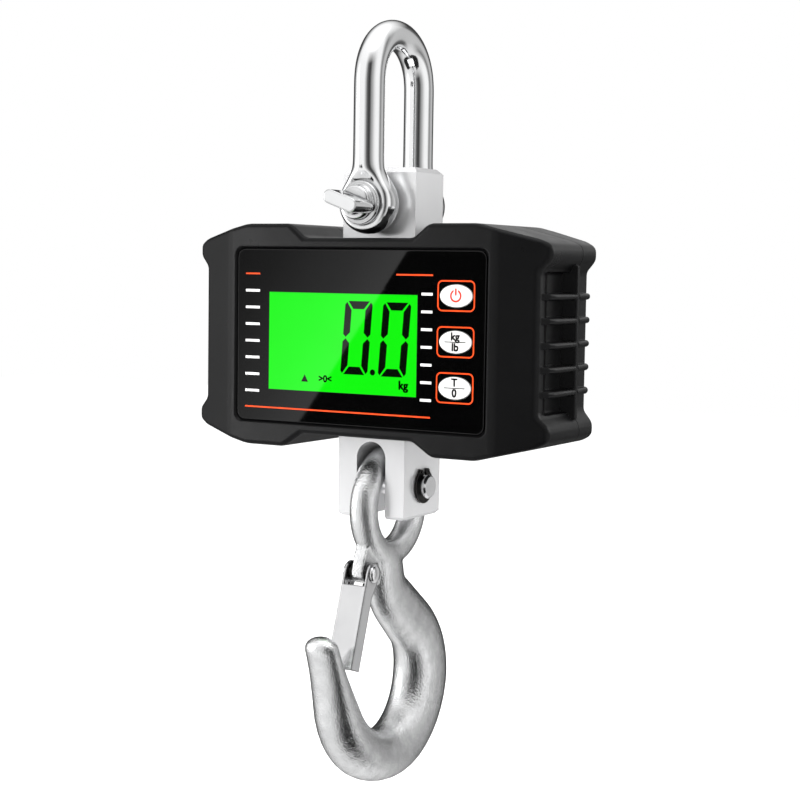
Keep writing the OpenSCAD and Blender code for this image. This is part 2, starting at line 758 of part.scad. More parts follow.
// One end's fins and the upright rib, between two depths
module end_ribs(y0, y1) {
    w = housing_w / 2 - end_recess;
    half = housing_h / 2 - slope_drop - shoulder_h - 2;
    for (i = [0 : fin_count - 1]) {
        z = mid_z + (i - (fin_count - 1) / 2) * fin_pitch;
        translate([0, 0, z]) intersection() {
            linear_extrude(fin_t, center = true)
                polygon([[w - 4, front_y + end_taper_d + 3], [w, front_y + end_taper_d + 3],
                    [w + rib_proud, front_y + end_taper_d + 10], [w + rib_proud, rear_y - end_taper_d + 1],
                    [w, rear_y - end_taper_d + 2], [w - 4, rear_y - end_taper_d + 2]]);
            along_y(y0, y1) {
                translate([w + rib_proud - fin_t / 2, 0]) circle(d = fin_t);
                translate([w - 4, -fin_t / 2]) square([4 + rib_proud - fin_t / 2, fin_t]);
            }
        }
    }
    if (y1 > parting - rib_t && y0 < parting - rib_t)
        box([w - 4, parting - rib_t, mid_z - half], [w + rib_proud, parting, mid_z + half]);
}

// Opening for the load cell, top and bottom
module cell_openings() {
    top = [cell_w + 2 * cell_gap, cell_t + 2 * cell_gap];
    low = [block_w + 2 * cell_gap, block_t + 2 * cell_gap];
    translate([0, 0, mid_z]) linear_extrude(housing_h) square(top, center = true);
    translate([0, 0, mid_z - housing_h]) linear_extrude(housing_h) square(low, center = true);
}

// One shell, from y0 to y1, with its ends' fins
module shell(y0, y1) {
    difference() {
        union() {
            difference() {
                body(0, y0, y1);
                for (side = [0, 1]) mirror([side, 0, 0]) end_dish();
            }
            intersection() {
                for (side = [0, 1]) mirror([side, 0, 0]) end_ribs(y0, y1);
                body_box(y0, y1);
            }
        }
        difference() {
            body(wall, inner_front, inner_rear);
            for (side = [0, 1]) mirror([side, 0, 0])
                box([housing_w / 2 - end_recess - 7, front_y, bottom_z + slope_drop + shoulder_h],
                    [housing_w / 2, rear_y, top_z - slope_drop - shoulder_h]);
        }
        cell_openings();
    }
}

module body_box(y0, y1) {
    box([-housing_w / 2, y0, bottom_z], [housing_w / 2, y1, top_z]);
}

// Places its children at the housing's four screws
module at_screws() {
    for (sx = [-1, 1]) for (sz = [-1, 1]) translate([sx * screw_x, 0, mid_z + sz * screw_z]) children();
}

// Places its children at the board's four screws
module at_board_screws() {
    for (sx = [-1, 1]) for (sz = [-1, 1])
        translate([sx * (board_w / 2 - board_hole), 0, panel_mid + sz * (board_h / 2 - board_hole)])
            children();
}

module front_housing() {
    color("#1c1c1e") difference() {
        union() {
            shell(front_y, parting);
            intersection() {
                at_screws() rod_y(post_d, front_y, parting);
                body(1, front_y, parting);
            }
            at_board_screws() rod_y(6, inner_front - eps, board_y);
        }
        // seat for the panel
        translate([0, 0, panel_mid]) along_y(front_y - 1, seat_y)
            round_rect(panel_w + 2 * fit_gap, panel_h + 2 * fit_gap, 4.2);
        translate([window_x, 0, window_z]) along_y(front_y, inner_front + 1)
            square([window_w + 1, window_h + 1], center = true);
        for (z = key_zs) translate([key_x, 0, z]) along_y(front_y, inner_front + 1)
            oval(key_w + 2 * key_gap, key_h + 2 * key_gap);
        rod_y(eye_window_d, front_y, inner_front + 1, key_x, receiver_z);
        at_screws() rod_y(case_screw[0] + pin_gap, parting - 15, parting + 1);
        at_board_screws() rod_y(board_screw[0] + 2 * pin_gap, seat_y + 0.6, board_y + 1);
    }
}

module rear_housing() {
    color("#1c1c1e") difference() {
        union() {
            shell(parting, rear_y);
            intersection() {
                union() {
                    at_screws() rod_y(post_d, parting, rear_y);
                    for (side = [-1, 1])
                        rod_y(8, cell_t / 2 + bracket_t, rear_y, side * post_x, bracket_z);
                    // battery bay and the seat of its door
                    box([bay_x - bay_w / 2 - bay_wall, bay_front - bay_wall, mid_z - bay_h / 2 - bay_wall],
                        [bay_x + bay_w / 2 + bay_wall, rear_y, mid_z + bay_h / 2 + bay_wall]);
                    box([bay_x - door_w / 2 - 1, rear_y - door_seat - 2.5, mid_z - door_h / 2 - 1],
                        [bay_x + door_w / 2 + 1, rear_y, mid_z + door_h / 2 + 1]);
                    for (s = [-1, 1])
                        rod_y(8, rear_y - 12, rear_y, bay_x, mid_z + s * door_screw_z);
                    rod_y(socket_flange_d + 5, rear_y - wall - 1, rear_y, socket_x, socket_z);
                }
                body(1, -housing_t, rear_y - 1);
            }
        }
        box([bay_x - bay_w / 2, bay_front, mid_z - bay_h / 2],
            [bay_x + bay_w / 2, rear_y + 1, mid_z + bay_h / 2]);
        box([bay_x - door_w / 2 - fit_gap, rear_y - door_seat, mid_z - door_h / 2 - fit_gap],
            [bay_x + door_w / 2 + fit_gap, rear_y + 1, mid_z + door_h / 2 + fit_gap]);
        for (s = [-1, 1])
            rod_y(door_screw[0] + pin_gap, rear_y - 10, rear_y, bay_x, mid_z + s * door_screw_z);
        // lead hole at the bay's upper end
        rod_y(5, bay_front - 5, bay_front + 1, bay_x, mid_z + bay_h / 2 - 3.5);
        rod_y(socket_d + 2 * fit_gap, parting, rear_y + 1, socket_x, socket_z);
        rod_y(socket_flange_d + 2 * fit_gap, rear_y - socket_flange_t, rear_y + 1, socket_x, socket_z);
        at_screws() {
            rod_y(m4_d + 0.6, parting - 1, rear_y + 1);
            rod_y(m4_head + 1, rear_y - screw_sink, rear_y + 1);
        }
        for (side = [-1, 1])
            rod_y(m4_d + 2 * pin_gap, cell_t / 2, cell_t / 2 + bracket_t + 9, side * post_x, bracket_z);
        gasket_ring(parting - eps, parting + gasket_d);
    }
}

// Cord of rubber halfway through the wall, all round the joint
module gasket_ring(y0, y1) {
    translate([0, 0, mid_z]) along_y(y0, y1) difference() {
        offset(delta = -wall / 2 + 0.6) outline();
        offset(delta = -wall / 2 - 0.6) outline();
    }
}

module housing_gasket() {
    color("#101010") difference() {
        gasket_ring(parting, parting + gasket_d);
        cell_openings();
    }
}

module housing_screws() {
    color("gray") at_screws()
        screw_y(case_screw, parting - 13, rear_y - screw_sink, 0, 0);
}

/* ---- panel, keys and display ---- */

module front_panel() {
    color("#050505") difference() {
        translate([0, 0, panel_mid]) along_y(seat_y - panel_t, seat_y) round_rect(panel_w, panel_h, 4);
        for (z = key_zs) translate([key_x, 0, z]) along_y(front_y - 1, inner_front)
            oval(key_w + 2 * key_gap, key_h + 2 * key_gap);
    }
}

// A key: its face, the flange that keeps it in and the stem that works the switch
module key(z, tone) {
    face = seat_y - panel_t - key_proud;
    flange = inner_front + 0.3;
    stem_end = board_y - switch_t - switch_button - key_rest_gap - key_travel;
    color(tone) translate([key_x, 0, z]) {
        along_y(face, flange + eps) oval(key_w, key_h);
        along_y(flange, flange + key_flange_t) oval(key_w + 2 * key_flange, key_h + 2 * key_flange);
        rod_y(4, flange + key_flange_t - eps, stem_end);
    }
}

module key_power() {
    key(key_zs[0], "whitesmoke");
}

module key_hold() {
    key(key_zs[1], "whitesmoke");
}

module key_tare() {
    key(key_zs[2], "whitesmoke");
}

module key_switches() {
    color("#404040") for (z = key_zs) {
        box([key_x - 3, board_y - switch_t, z - 3], [key_x + 3, board_y, z + 3]);
        rod_y(3.4, board_y - switch_t - switch_button, board_y - switch_t, key_x, z);
    }
}

module lcd_bezel() {
    w = window_w + 2 * glass_over + 2 * fit_gap;
    h = window_h + 2 * glass_over + 2 * fit_gap;
    color("#303030") translate([window_x, 0, window_z]) along_y(inner_front, board_y) difference() {
        square([w + 2 * bezel_wall, h + 2 * bezel_wall], center = true);
        square([w, h], center = true);
    }
}

module lcd_glass() {
    color("#20e020") translate([window_x, 0, window_z]) along_y(inner_front, inner_front + glass_t)
        square([window_w + 2 * glass_over, window_h + 2 * glass_over], center = true);
}

module backlight() {
    color("#c0ffc0") translate([window_x, 0, window_z]) along_y(inner_front + glass_t, board_y)
        square([window_w + 2 * glass_over, window_h + 2 * glass_over], center = true);
}

/* ---- electronics ---- */

module main_board() {
    color("darkgreen") difference() {
        box([-board_w / 2, board_y, panel_mid - board_h / 2],
            [board_w / 2, board_back, panel_mid + board_h / 2]);
        at_board_screws() rod_y(2.7, board_y - 1, board_back + 1);
    }
}

module board_screws() {
    color("silver") at_board_screws() screw_y(board_screw, board_y - 4.2, board_back, 0, 0);
}

module controller_chip() {
    color("#202020") box([-42, board_back, panel_mid - 6], [-30, board_back + 1.6, panel_mid + 6]);
}

module converter_chip() {
    color("#202020") box([-24, board_back, panel_mid + 8], [-14, board_back + 1.6, panel_mid + 14]);
}

module buzzer() {
    color("#202020") difference() {
        rod_y(buzzer_d, board_back, board_back + 7, -bay_x, buzzer_z);
        rod_y(2, board_back + 5, board_back + 8, -bay_x, buzzer_z);
    }
}

module ir_receiver() {
    color("#301818") {
        box([key_x - 3, board_y - 3, receiver_z - 3], [key_x + 3, board_y, receiver_z + 3]);
        translate([key_x, board_y - 3, receiver_z]) intersection() {
            sphere(d = 4);
            box([-3, -3, -3], [3, 0, 3]);
        }
    }
}

module cell_connector() {
    color("ivory") difference() {
        box([connector_x - 6, board_back, connector_z - 3],
            [connector_x + 6, board_back + 6, connector_z + 3]);
        box([connector_x - 5, board_back + 2, connector_z - 2],
            [connector_x + 5, board_back + 7, connector_z + 2]);
    }
}

module cell_cable() {
    color("#a0a0a0") tube(bend([-4, -cell_t / 2 - lead_gap, mid_z], [-4, board_back + 1, mid_z],
        [connector_x, -cell_t / 2 + 8, connector_z],
        [connector_x, board_back + 2 + lead_gap, connector_z]), 2.4);
}

module battery_cells() {
    r = battery_d / 2;
    color("steelblue") for (sx = [-1, 1]) for (sy = [-1, 1])
        translate([bay_x + sx * r, bay_front + bay_d / 2 + sy * r, mid_z - battery_len / 2])
            cylinder(d = battery_d - 0.1, h = battery_len);
}

module battery_leads() {
    z = mid_z + bay_h / 2 - 3.5;
    color("firebrick") for (s = [-1, 1])
        tube(bend([bay_x + 1.2 * s, bay_front + 0.5, z], [bay_x + 1.2 * s, bay_front - 12, z],
            [bay_x - 8 + 1.2 * s, board_back + 12, z - 4],
            [bay_x - 8 + 1.2 * s, board_back + lead_gap, z - 4]), lead_d);
}

module battery_door() {
    color("#1c1c1e") difference() {
        box([bay_x - door_w / 2, rear_y - door_t, mid_z - door_h / 2],
            [bay_x + door_w / 2, rear_y, mid_z + door_h / 2]);
        for (s = [-1, 1]) {
            rod_y(door_screw[0] + 0.9, rear_y - door_t - 1, rear_y + 1, bay_x, mid_z + s * door_screw_z);
            rod_y(door_screw[1] + 0.8, rear_y - door_screw_sink, rear_y + 1,
                bay_x, mid_z + s * door_screw_z);
        }
    }
}

module door_seal() {
    color("black") translate([bay_x, 0, mid_z]) along_y(rear_y - door_seat, rear_y - door_t) difference() {
        square([bay_w + 5, bay_h + 3.6], center = true);
        square([bay_w + 1, bay_h + 1], center = true);
    }
}

module door_screws() {
    color("gray") for (s = [-1, 1])
        screw_y(door_screw, rear_y - 9, rear_y - door_screw_sink, bay_x, mid_z + s * door_screw_z);
}

module charger_socket() {
    color("#181818") {
        difference() {
            union() {
                rod_y(socket_flange_d, rear_y - socket_flange_t, rear_y, socket_x, socket_z);
                rod_y(socket_d, rear_y - socket_len, rear_y - socket_flange_t + eps, socket_x, socket_z);
            }
            rod_y(socket_bore, rear_y - 9.5, rear_y + 1, socket_x, socket_z);
        }
        rod_y(2, rear_y - 9.5 - eps, rear_y - 1.5, socket_x, socket_z);
    }
}

module socket_nut() {
    y1 = rear_y - wall - 1;
    color("silver") difference() {
        translate([socket_x, y1, socket_z]) rotate([90, 0, 0]) cylinder(d = 17, h = 2.5, $fn = 6);
        rod_y(socket_d, y1 - 4, y1 + 1, socket_x, socket_z);
    }
}

module charger_leads() {
    y = rear_y - socket_len;
    color("firebrick") for (s = [-1, 1])
        tube(bend([socket_x + 2.5 * s, y - lead_gap, socket_z], [socket_x + 2.5 * s, y - 14, socket_z],
            [socket_x + 8 + 2.5 * s, board_back + 14, panel_mid - 20],
            [socket_x + 8 + 2.5 * s, board_back + lead_gap, panel_mid - 20]), lead_d);
}

shackle_bow();
shackle_pin();
load_cell();
strain_gauges();
gauge_covers();
cell_bracket();
bracket_screws();
top_seal();
bottom_seal();
hook_pin();
retaining_rings();
hook();
latch();
latch_rivet();
latch_spring();
front_housing();
rear_housing();
housing_gasket();
housing_screws();
front_panel();
key_power();
key_hold();
key_tare();
key_switches();
lcd_bezel();
lcd_glass();
backlight();
main_board();
board_screws();
controller_chip();
converter_chip();
buzzer();
ir_receiver();
cell_connector();
cell_cable();
battery_cells();
battery_leads();
battery_door();
door_seal();
door_screws();
charger_socket();
socket_nut();
charger_leads();
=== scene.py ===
import math

import bmesh
import bpy
from mathutils import Matrix, Vector


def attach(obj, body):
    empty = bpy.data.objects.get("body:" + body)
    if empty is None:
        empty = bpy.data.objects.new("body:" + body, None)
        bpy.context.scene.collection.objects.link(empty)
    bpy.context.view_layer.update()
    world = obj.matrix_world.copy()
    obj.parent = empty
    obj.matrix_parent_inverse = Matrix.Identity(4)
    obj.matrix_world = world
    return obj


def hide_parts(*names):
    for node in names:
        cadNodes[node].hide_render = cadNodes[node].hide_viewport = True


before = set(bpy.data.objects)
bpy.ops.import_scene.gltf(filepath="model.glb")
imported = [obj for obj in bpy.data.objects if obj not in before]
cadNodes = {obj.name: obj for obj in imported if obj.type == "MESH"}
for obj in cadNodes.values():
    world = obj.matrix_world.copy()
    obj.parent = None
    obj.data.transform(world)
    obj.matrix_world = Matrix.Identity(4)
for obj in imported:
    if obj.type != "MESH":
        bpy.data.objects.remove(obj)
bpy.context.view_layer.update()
mm = 0.001
print("frame loaded:", len(cadNodes), "nodes")

# camera

cameraSet = {
    "place": (419.37, -708.64, -109.13),  # mm
    "round": 30.28,  # degrees to the right of straight in front
    "down": 4.41,
    "roll": 0.87,
    "lens": 74.18,
    "sensor": 36,
    "nearest": 0.01,  # metres
}


def makeCamera(spec):
    turn, down, roll = (math.radians(spec[k]) for k in ("round", "down", "roll"))
    back = Vector((math.sin(turn) * math.cos(down), -math.cos(turn) * math.cos(down), math.sin(down)))
    right = Vector((math.cos(turn), math.sin(turn), 0))
    up = back.cross(right)
    across = right * math.cos(roll) + up * math.sin(roll)
    above = up * math.cos(roll) - right * math.sin(roll)
    data = bpy.data.cameras.new("camera")
    data.lens = spec["lens"]
    data.sensor_width = spec["sensor"]
    data.clip_start = spec["nearest"]
    cam = bpy.data.objects.new("camera", data)
    stand = Matrix((across, above, back)).transposed().to_4x4()
    cam.matrix_world = Matrix.Translation(Vector(spec["place"]) * mm) @ stand
    bpy.context.scene.collection.objects.link(cam)
    bpy.context.scene.camera = cam


makeCamera(cameraSet)

# shader effects shared by the materials

effectSet = {
    "edgeSamples": 6, "rubScale": 220.0, "rubDetail": 5.0, "lineDetail": 4.0, "lineRoughness": 0.7,
    "hairs": (((0.3, 0.9, 0.2), (1, 26, 1)), ((1.1, 0.2, 0.8), (30, 1, 1)), ((0.5, 0.4, 2.0), (1, 1, 24))),
    "hairDetail": 2.0, "hairCrest": (0.66, 0.74),  # hairs: how each set is turned and stretched
}


def put(tree, kind, inputs=None, **settings):
    made = tree.nodes.new(kind)
    for key, value in settings.items():
        setattr(made, key, value)
    for key, value in (inputs or {}).items():
        if isinstance(value, bpy.types.NodeSocket):
            tree.links.new(value, made.inputs[key])
        else:
            made.inputs[key].default_value = value
    return made


def calc(tree, operation, *terms, clamp=False):
    made = put(tree, "ShaderNodeMath", dict(enumerate(terms)), operation=operation, use_clamp=clamp)
    return made.outputs[0]


def blend(tree, share, first, second):  # two colours
    first, second = (c if isinstance(c, bpy.types.NodeSocket) else (*c, 1) for c in (first, second))
    return put(tree, "ShaderNodeMix", {0: share, 6: first, 7: second}, data_type="RGBA").outputs[2]


def ranged(tree, value, low, high):  # 0 at low, 1 at high
    return put(tree, "ShaderNodeMapRange", {"Value": value, "From Min": low, "From Max": high}).outputs[0]


def onObject(tree):
    return put(tree, "ShaderNodeTexCoord").outputs["Object"]


def noise(tree, where, scale, detail, roughness=0.5):
    inputs = {"Vector": where, "Scale": scale, "Detail": detail, "Roughness": roughness}
    return put(tree, "ShaderNodeTexNoise", inputs).outputs["Fac"]


def newGroup(name, inputs, *outputs):
    tree = bpy.data.node_groups.new(name, "ShaderNodeTree")
    for label, value in inputs.items():
        kind = "NodeSocketVector" if isinstance(value, tuple) else "NodeSocketFloat"
        tree.interface.new_socket(name=label, in_out="INPUT", socket_type=kind).default_value = value
    for label in outputs:
        kind = "NodeSocketVector" if label == "Normal" else "NodeSocketFloat"
        tree.interface.new_socket(name=label, in_out="OUTPUT", socket_type=kind)
    return tree, tree.nodes.new("NodeGroupInput").outputs, tree.nodes.new("NodeGroupOutput").inputs


def noiseGroup():  # blotches or grain, from its scale
    tree, given, result = newGroup("mottling", {"Scale": 100.0, "Detail": 3.0, "Contrast": 1.0}, "Value")
    centred = calc(tree, "SUBTRACT", noise(tree, onObject(tree), given["Scale"], given["Detail"]), 0.5)
    spread = calc(tree, "MULTIPLY_ADD", centred, given["Contrast"], 0.5, clamp=True)
    tree.links.new(spread, result["Value"])
    return tree


def brushGroup(e):  # long fine lines left by grinding or drawing
    tree, given, result = newGroup("brushing", {"Stretch": (1.0, 1.0, 1.0), "Fineness": 600.0}, "Value")
    drawn = put(tree, "ShaderNodeVectorMath", {0: onObject(tree), 1: given["Stretch"]}, operation="MULTIPLY")
    lines = noise(tree, drawn.outputs[0], given["Fineness"], e["lineDetail"], e["lineRoughness"])
    tree.links.new(lines, result["Value"])
    return tree


def edgeGroup(e):  # softened edges, and a patchy mask along them that paints wear on some finishes, painted shade lines on the polished steel and bright sheet, and a painted highlight on the moulded shells
    tree, given, result = newGroup("edgeWearAndLightMask", {"Radius": 0.0004, "Amount": 4.0}, "Normal", "Mask")
    soft = put(tree, "ShaderNodeBevel", {"Radius": given["Radius"]}, samples=e["edgeSamples"]).outputs[0]
    flat = put(tree, "ShaderNodeNewGeometry").outputs["True Normal"]
    agree = put(tree, "ShaderNodeVectorMath", {0: soft, 1: flat}, operation="DOT_PRODUCT").outputs["Value"]
    rub = noise(tree, onObject(tree), e["rubScale"], e["rubDetail"])
    patchy = calc(tree, "MULTIPLY", calc(tree, "SUBTRACT", 1.0, agree), rub)
    tree.links.new(soft, result["Normal"])
    tree.links.new(calc(tree, "MULTIPLY", patchy, given["Amount"], clamp=True), result["Mask"])
    return tree


def scratchGroup(e):  # hairline scuffs, lying in three directions
    tree, given, result = newGroup("scuffs", {"Scale": 90.0, "Amount": 0.07}, "Value")
    where = onObject(tree)
    crests = []
    for turn, stretch in e["hairs"]:
        drawn = put(tree, "ShaderNodeMapping", {"Vector": where, "Rotation": turn, "Scale": stretch})
        lines = noise(tree, drawn.outputs[0], given["Scale"], e["hairDetail"])
        crests.append(ranged(tree, lines, *e["hairCrest"]))
    highest = calc(tree, "MAXIMUM", calc(tree, "MAXIMUM", crests[0], crests[1]), crests[2])
    tree.links.new(calc(tree, "MULTIPLY", highest, given["Amount"], clamp=True), result["Value"])
    return tree


mottling, brushing = noiseGroup(), brushGroup(effectSet)
edgeWearAndLightMask, scuffs = edgeGroup(effectSet), scratchGroup(effectSet)


def use(tree, group, **inputs):
    return put(tree, "ShaderNodeGroup", inputs, node_tree=group).outputs


# materials

surfaceSet = {
    "specular": 0.5, "depth": 0.0001, "detail": 4.0, "blotchContrast": 2.2, "smearFiner": 2.7,
    "smearDetail": 5.0, "smearContrast": 1.8, "grainContrast": 1.6, "scuffScale": 90.0, "samples": 6,
}
inkLook = {"blotch": 200, "grain": 2600, "relief": 0.08, "depth": 0.00005}
glassLook = {"rough": (0.012, 0.03), "grain": 60, "relief": 0.003, "depth": 0.00005}
materialSet = {
    "mirrorSteel": {
        "colour": (0.93, 0.935, 0.94), "tint": (0.88, 0.885, 0.89), "metallic": 1, "rough": (0.05, 0.10),
        "blotch": 45, "grain": 260, "relief": 0.01, "scuff": 0.04, "edge": 0.0011,
        # painted shade: the dark edge colour draws dark lines along every edge, and the shade colour darkens
        # where pieces meet
        "worn": (0.08, 0.08, 0.085), "wear": 14, "paintedShadeReach": 0.005, "shade": (0.06, 0.06, 0.065),
    },
    "groundSteel": {
        "colour": (0.86, 0.86, 0.865), "tint": (0.80, 0.80, 0.81), "metallic": 0.6, "rough": (0.16, 0.26),
        "blotch": 30, "brush": (0.08, 1.6, 1.6), "fine": 1500, "relief": 0.04, "edge": 0.0005,
        "worn": (0.97, 0.97, 0.97), "wear": 5,
    },
    "turnedSteel": {
        "colour": (0.92, 0.92, 0.93), "tint": (0.84, 0.84, 0.85), "metallic": 1, "rough": (0.12, 0.22),
        "blotch": 120, "brush": (0.1, 1, 1), "fine": 2200, "relief": 0.06, "edge": 0.0004,
        "worn": (0.97, 0.97, 0.97), "wear": 3,
    },
    "galvanisedSteel": {
        "colour": (0.93, 0.935, 0.94), "tint": (0.80, 0.805, 0.81), "metallic": 1, "rough": (0.09, 0.16),
        "blotch": 160, "grain": 1250, "relief": 0.5, "depth": 0.0004, "edge": 0.0004,
        # painted shade: the shade colour darkens the zinc where pieces meet and in creases
        "worn": (0.95, 0.95, 0.95), "wear": 2, "paintedShadeReach": 0.004, "shade": (0.16, 0.16, 0.165),
    },
    "brightSheet": {
        "colour": (0.80, 0.80, 0.805), "tint": (0.72, 0.72, 0.73), "metallic": 1, "rough": (0.05, 0.12),
        "blotch": 60, "brush": (1, 0.06, 0.06), "fine": 1800, "relief": 0.03, "edge": 0.0011,
        # painted shade: the dark edge colour draws dark lines along the bends and edges, and the shade colour
        # darkens where pieces meet
        "worn": (0.08, 0.08, 0.085), "wear": 18, "paintedShadeReach": 0.004, "shade": (0.10, 0.10, 0.105),
    },
    "blackedSteel": {
        "colour": (0.018, 0.018, 0.02), "tint": (0.05, 0.045, 0.04), "metallic": 1, "rough": (0.28, 0.45),
        "blotch": 300, "grain": 1500, "relief": 0.15, "edge": 0.0003, "worn": (0.35, 0.34, 0.33), "wear": 5,
    },
    "zincPlate": {
        "colour": (0.66, 0.67, 0.68), "tint": (0.52, 0.55, 0.56), "metallic": 1, "rough": (0.22, 0.38),
        "blotch": 200, "grain": 1600, "relief": 0.15, "edge": 0.0003, "worn": (0.85, 0.85, 0.85), "wear": 4,
    },
    "sealingDisc": {
        "colour": (0.10, 0.10, 0.105), "tint": (0.16, 0.155, 0.15), "rough": (0.5, 0.7), "blotch": 90,
        "grain": 1200, "relief": 0.3, "depth": 0.0002,
    },
    "satinMoulding": {
        "colour": (0.0028, 0.0028, 0.0030), "tint": (0.0042, 0.0042, 0.0044), "rough": (0.26, 0.36),
        "blotch": 28, "grain": 5200, "relief": 0.10, "specular": 0.10, "scuff": 0.04, "edge": 0.0010,
        # painted highlight: the lighter edge colour paints a sheen along the edges of the shells
        "worn": (0.03, 0.03, 0.031), "wear": 0.9,
    },
    "glossPanel": {
        **glassLook, "colour": (0.0008, 0.0008, 0.0009), "tint": (0.0016, 0.0016, 0.0016), "blotch": 24,
        "scuff": 0.015, "edge": 0.0002, "worn": (0.02, 0.02, 0.02), "wear": 1,
    },
    "orangeInk": {
        **inkLook, "colour": (0.90, 0.082, 0.012), "tint": (0.80, 0.065, 0.010), "rough": (0.12, 0.22),
    },
    "whiteInk": {
        **inkLook, "colour": (0.93, 0.93, 0.92), "tint": (0.86, 0.86, 0.85), "rough": (0.14, 0.24),
    },
    "redInk": {
        **inkLook, "colour": (0.72, 0.035, 0.012), "tint": (0.60, 0.028, 0.010), "rough": (0.25, 0.35),
    },
    "blackInk": {
        **inkLook, "colour": (0.012, 0.012, 0.012), "tint": (0.02, 0.02, 0.02), "rough": (0.25, 0.35),
    },
    "whiteKey": {
        "colour": (0.86, 0.86, 0.85), "tint": (0.80, 0.80, 0.78), "rough": (0.30, 0.42), "blotch": 80,
        "grain": 3200, "relief": 0.10, "depth": 0.00008, "edge": 0.0003, "worn": (0.9, 0.9, 0.9), "wear": 1,
    },
    "litDisplay": {
        **glassLook, "colour": (0.004, 0.03, 0.004), "tint": (0.003, 0.025, 0.003), "blotch": 30,
        "glow": (0.0, 0.94, 0.0), "glowTint": (0.004, 0.88, 0.002),
    },
    "displayInk": {
        **glassLook, "colour": (0.0010, 0.003, 0.0010), "tint": (0.002, 0.004, 0.002), "blotch": 60,
    },
    "lightGuide": {
        "colour": (0.60, 0.85, 0.60), "tint": (0.55, 0.80, 0.55), "rough": (0.3, 0.45), "blotch": 80,
        "grain": 1800, "relief": 0.2,
    },
    "blackMoulding": {
        "colour": (0.014, 0.014, 0.015), "tint": (0.022, 0.022, 0.022), "rough": (0.40, 0.55), "blotch": 120,
        "grain": 3000, "relief": 0.2, "edge": 0.0003, "worn": (0.06, 0.06, 0.06), "wear": 2,
    },
    "darkLens": {
        "colour": (0.03, 0.006, 0.010), "tint": (0.022, 0.004, 0.008), "rough": (0.06, 0.12), "blotch": 90,
        "grain": 900, "relief": 0.03,
    },
    "ivoryMoulding": {
        "colour": (0.72, 0.69, 0.58), "tint": (0.66, 0.62, 0.50), "rough": (0.35, 0.5), "blotch": 150,
        "grain": 2600, "relief": 0.15,
    },
    "solderMask": {
        "colour": (0.006, 0.085, 0.03), "tint": (0.004, 0.062, 0.022), "rough": (0.2, 0.34), "blotch": 70,
        "grain": 1300, "relief": 0.15,
    },
    "gaugeFilm": {
        "colour": (0.62, 0.26, 0.06), "tint": (0.50, 0.20, 0.05), "rough": (0.2, 0.32), "blotch": 400,
        "brush": (1, 1, 0.08), "fine": 2600, "relief": 0.2,
    },
    "blackRubber": {
        "colour": (0.016, 0.016, 0.016), "tint": (0.03, 0.03, 0.03), "rough": (0.6, 0.78), "blotch": 130,
        "grain": 2200, "relief": 0.3, "depth": 0.0002,
    },
    "greySheath": {
        "colour": (0.26, 0.26, 0.27), "tint": (0.20, 0.20, 0.21), "rough": (0.4, 0.55), "blotch": 160,
        "grain": 2600, "relief": 0.2,
    },
    "redSheath": {
        "colour": (0.38, 0.012, 0.012), "tint": (0.30, 0.010, 0.010), "rough": (0.35, 0.5), "blotch": 160,
        "grain": 2600, "relief": 0.2,
    },
    "cellSleeve": {
        "colour": (0.03, 0.10, 0.34), "tint": (0.025, 0.08, 0.28), "rough": (0.15, 0.28), "blotch": 90,
        "brush": (1, 1, 0.1), "fine": 900, "relief": 0.1,
    },
}


def mottled(tree, scale, detail, contrast):
    return use(tree, mottling, Scale=float(scale), Detail=detail, Contrast=contrast)["Value"]


def makeMaterial(name, look, s):
    mat = bpy.data.materials.new(name)
    mat.use_nodes = True
    tree = mat.node_tree
    tree.nodes.clear()
    skin = put(tree, "ShaderNodeBsdfPrincipled", {"Metallic": float(look.get("metallic", 0)),
                                                  "Specular IOR Level": look.get("specular", s["specular"])})
    put(tree, "ShaderNodeOutputMaterial", {"Surface": skin.outputs[0]})
    blotch = mottled(tree, look["blotch"], s["detail"], s["blotchContrast"])
    colour = blend(tree, blotch, look["colour"], look["tint"])
    smear = mottled(tree, look["blotch"] * s["smearFiner"], s["smearDetail"], s["smearContrast"])
    low, high = look["rough"]
    rough = put(tree, "ShaderNodeMapRange", {"Value": smear, "To Min": low, "To Max": high}).outputs[0]
    if "brush" in look:
        height = use(tree, brushing, Stretch=look["brush"], Fineness=float(look["fine"]))["Value"]
    else:
        height = mottled(tree, look["grain"], s["detail"], s["grainContrast"])
    if "scuff" in look:
        hair = use(tree, scuffs, Scale=s["scuffScale"], Amount=look["scuff"])["Value"]
        rough = calc(tree, "ADD", rough, hair, clamp=True)
    depth = look.get("depth", s["depth"])
    relief = put(tree, "ShaderNodeBump", {"Strength": look["relief"], "Distance": depth, "Height": height})
    if "edge" in look:
        edge = use(tree, edgeWearAndLightMask, Radius=look["edge"], Amount=float(look["wear"]))
        tree.links.new(edge["Normal"], relief.inputs["Normal"])
        # the edge colour is wear on some finishes and painted shade lines or a painted highlight on others
        colour = blend(tree, edge["Mask"], colour, look["worn"])
    if "paintedShadeReach" in look:  # painted shade: the base colour darkens where pieces meet and in creases, as far as the ambient occlusion reaches
        openness = put(tree, "ShaderNodeAmbientOcclusion", {"Distance": look["paintedShadeReach"]},
                       samples=s["samples"])
        colour = blend(tree, openness.outputs["AO"], look["shade"], colour)
    if "glow" in look:
        tree.links.new(blend(tree, blotch, look["glow"], look["glowTint"]), skin.inputs["Emission Color"])
        skin.inputs["Emission Strength"].default_value = 1.0
    for socket, value in (("Base Color", colour), ("Roughness", rough), ("Normal", relief.outputs[0])):
        tree.links.new(value, skin.inputs[socket])
    return mat


materials = {name: makeMaterial(name, look, surfaceSet) for name, look in materialSet.items()}
print("materials made:", len(materials))

# modelling helpers


def wholeOf(bm):
    return bm.verts[:] + bm.edges[:] + bm.faces[:]


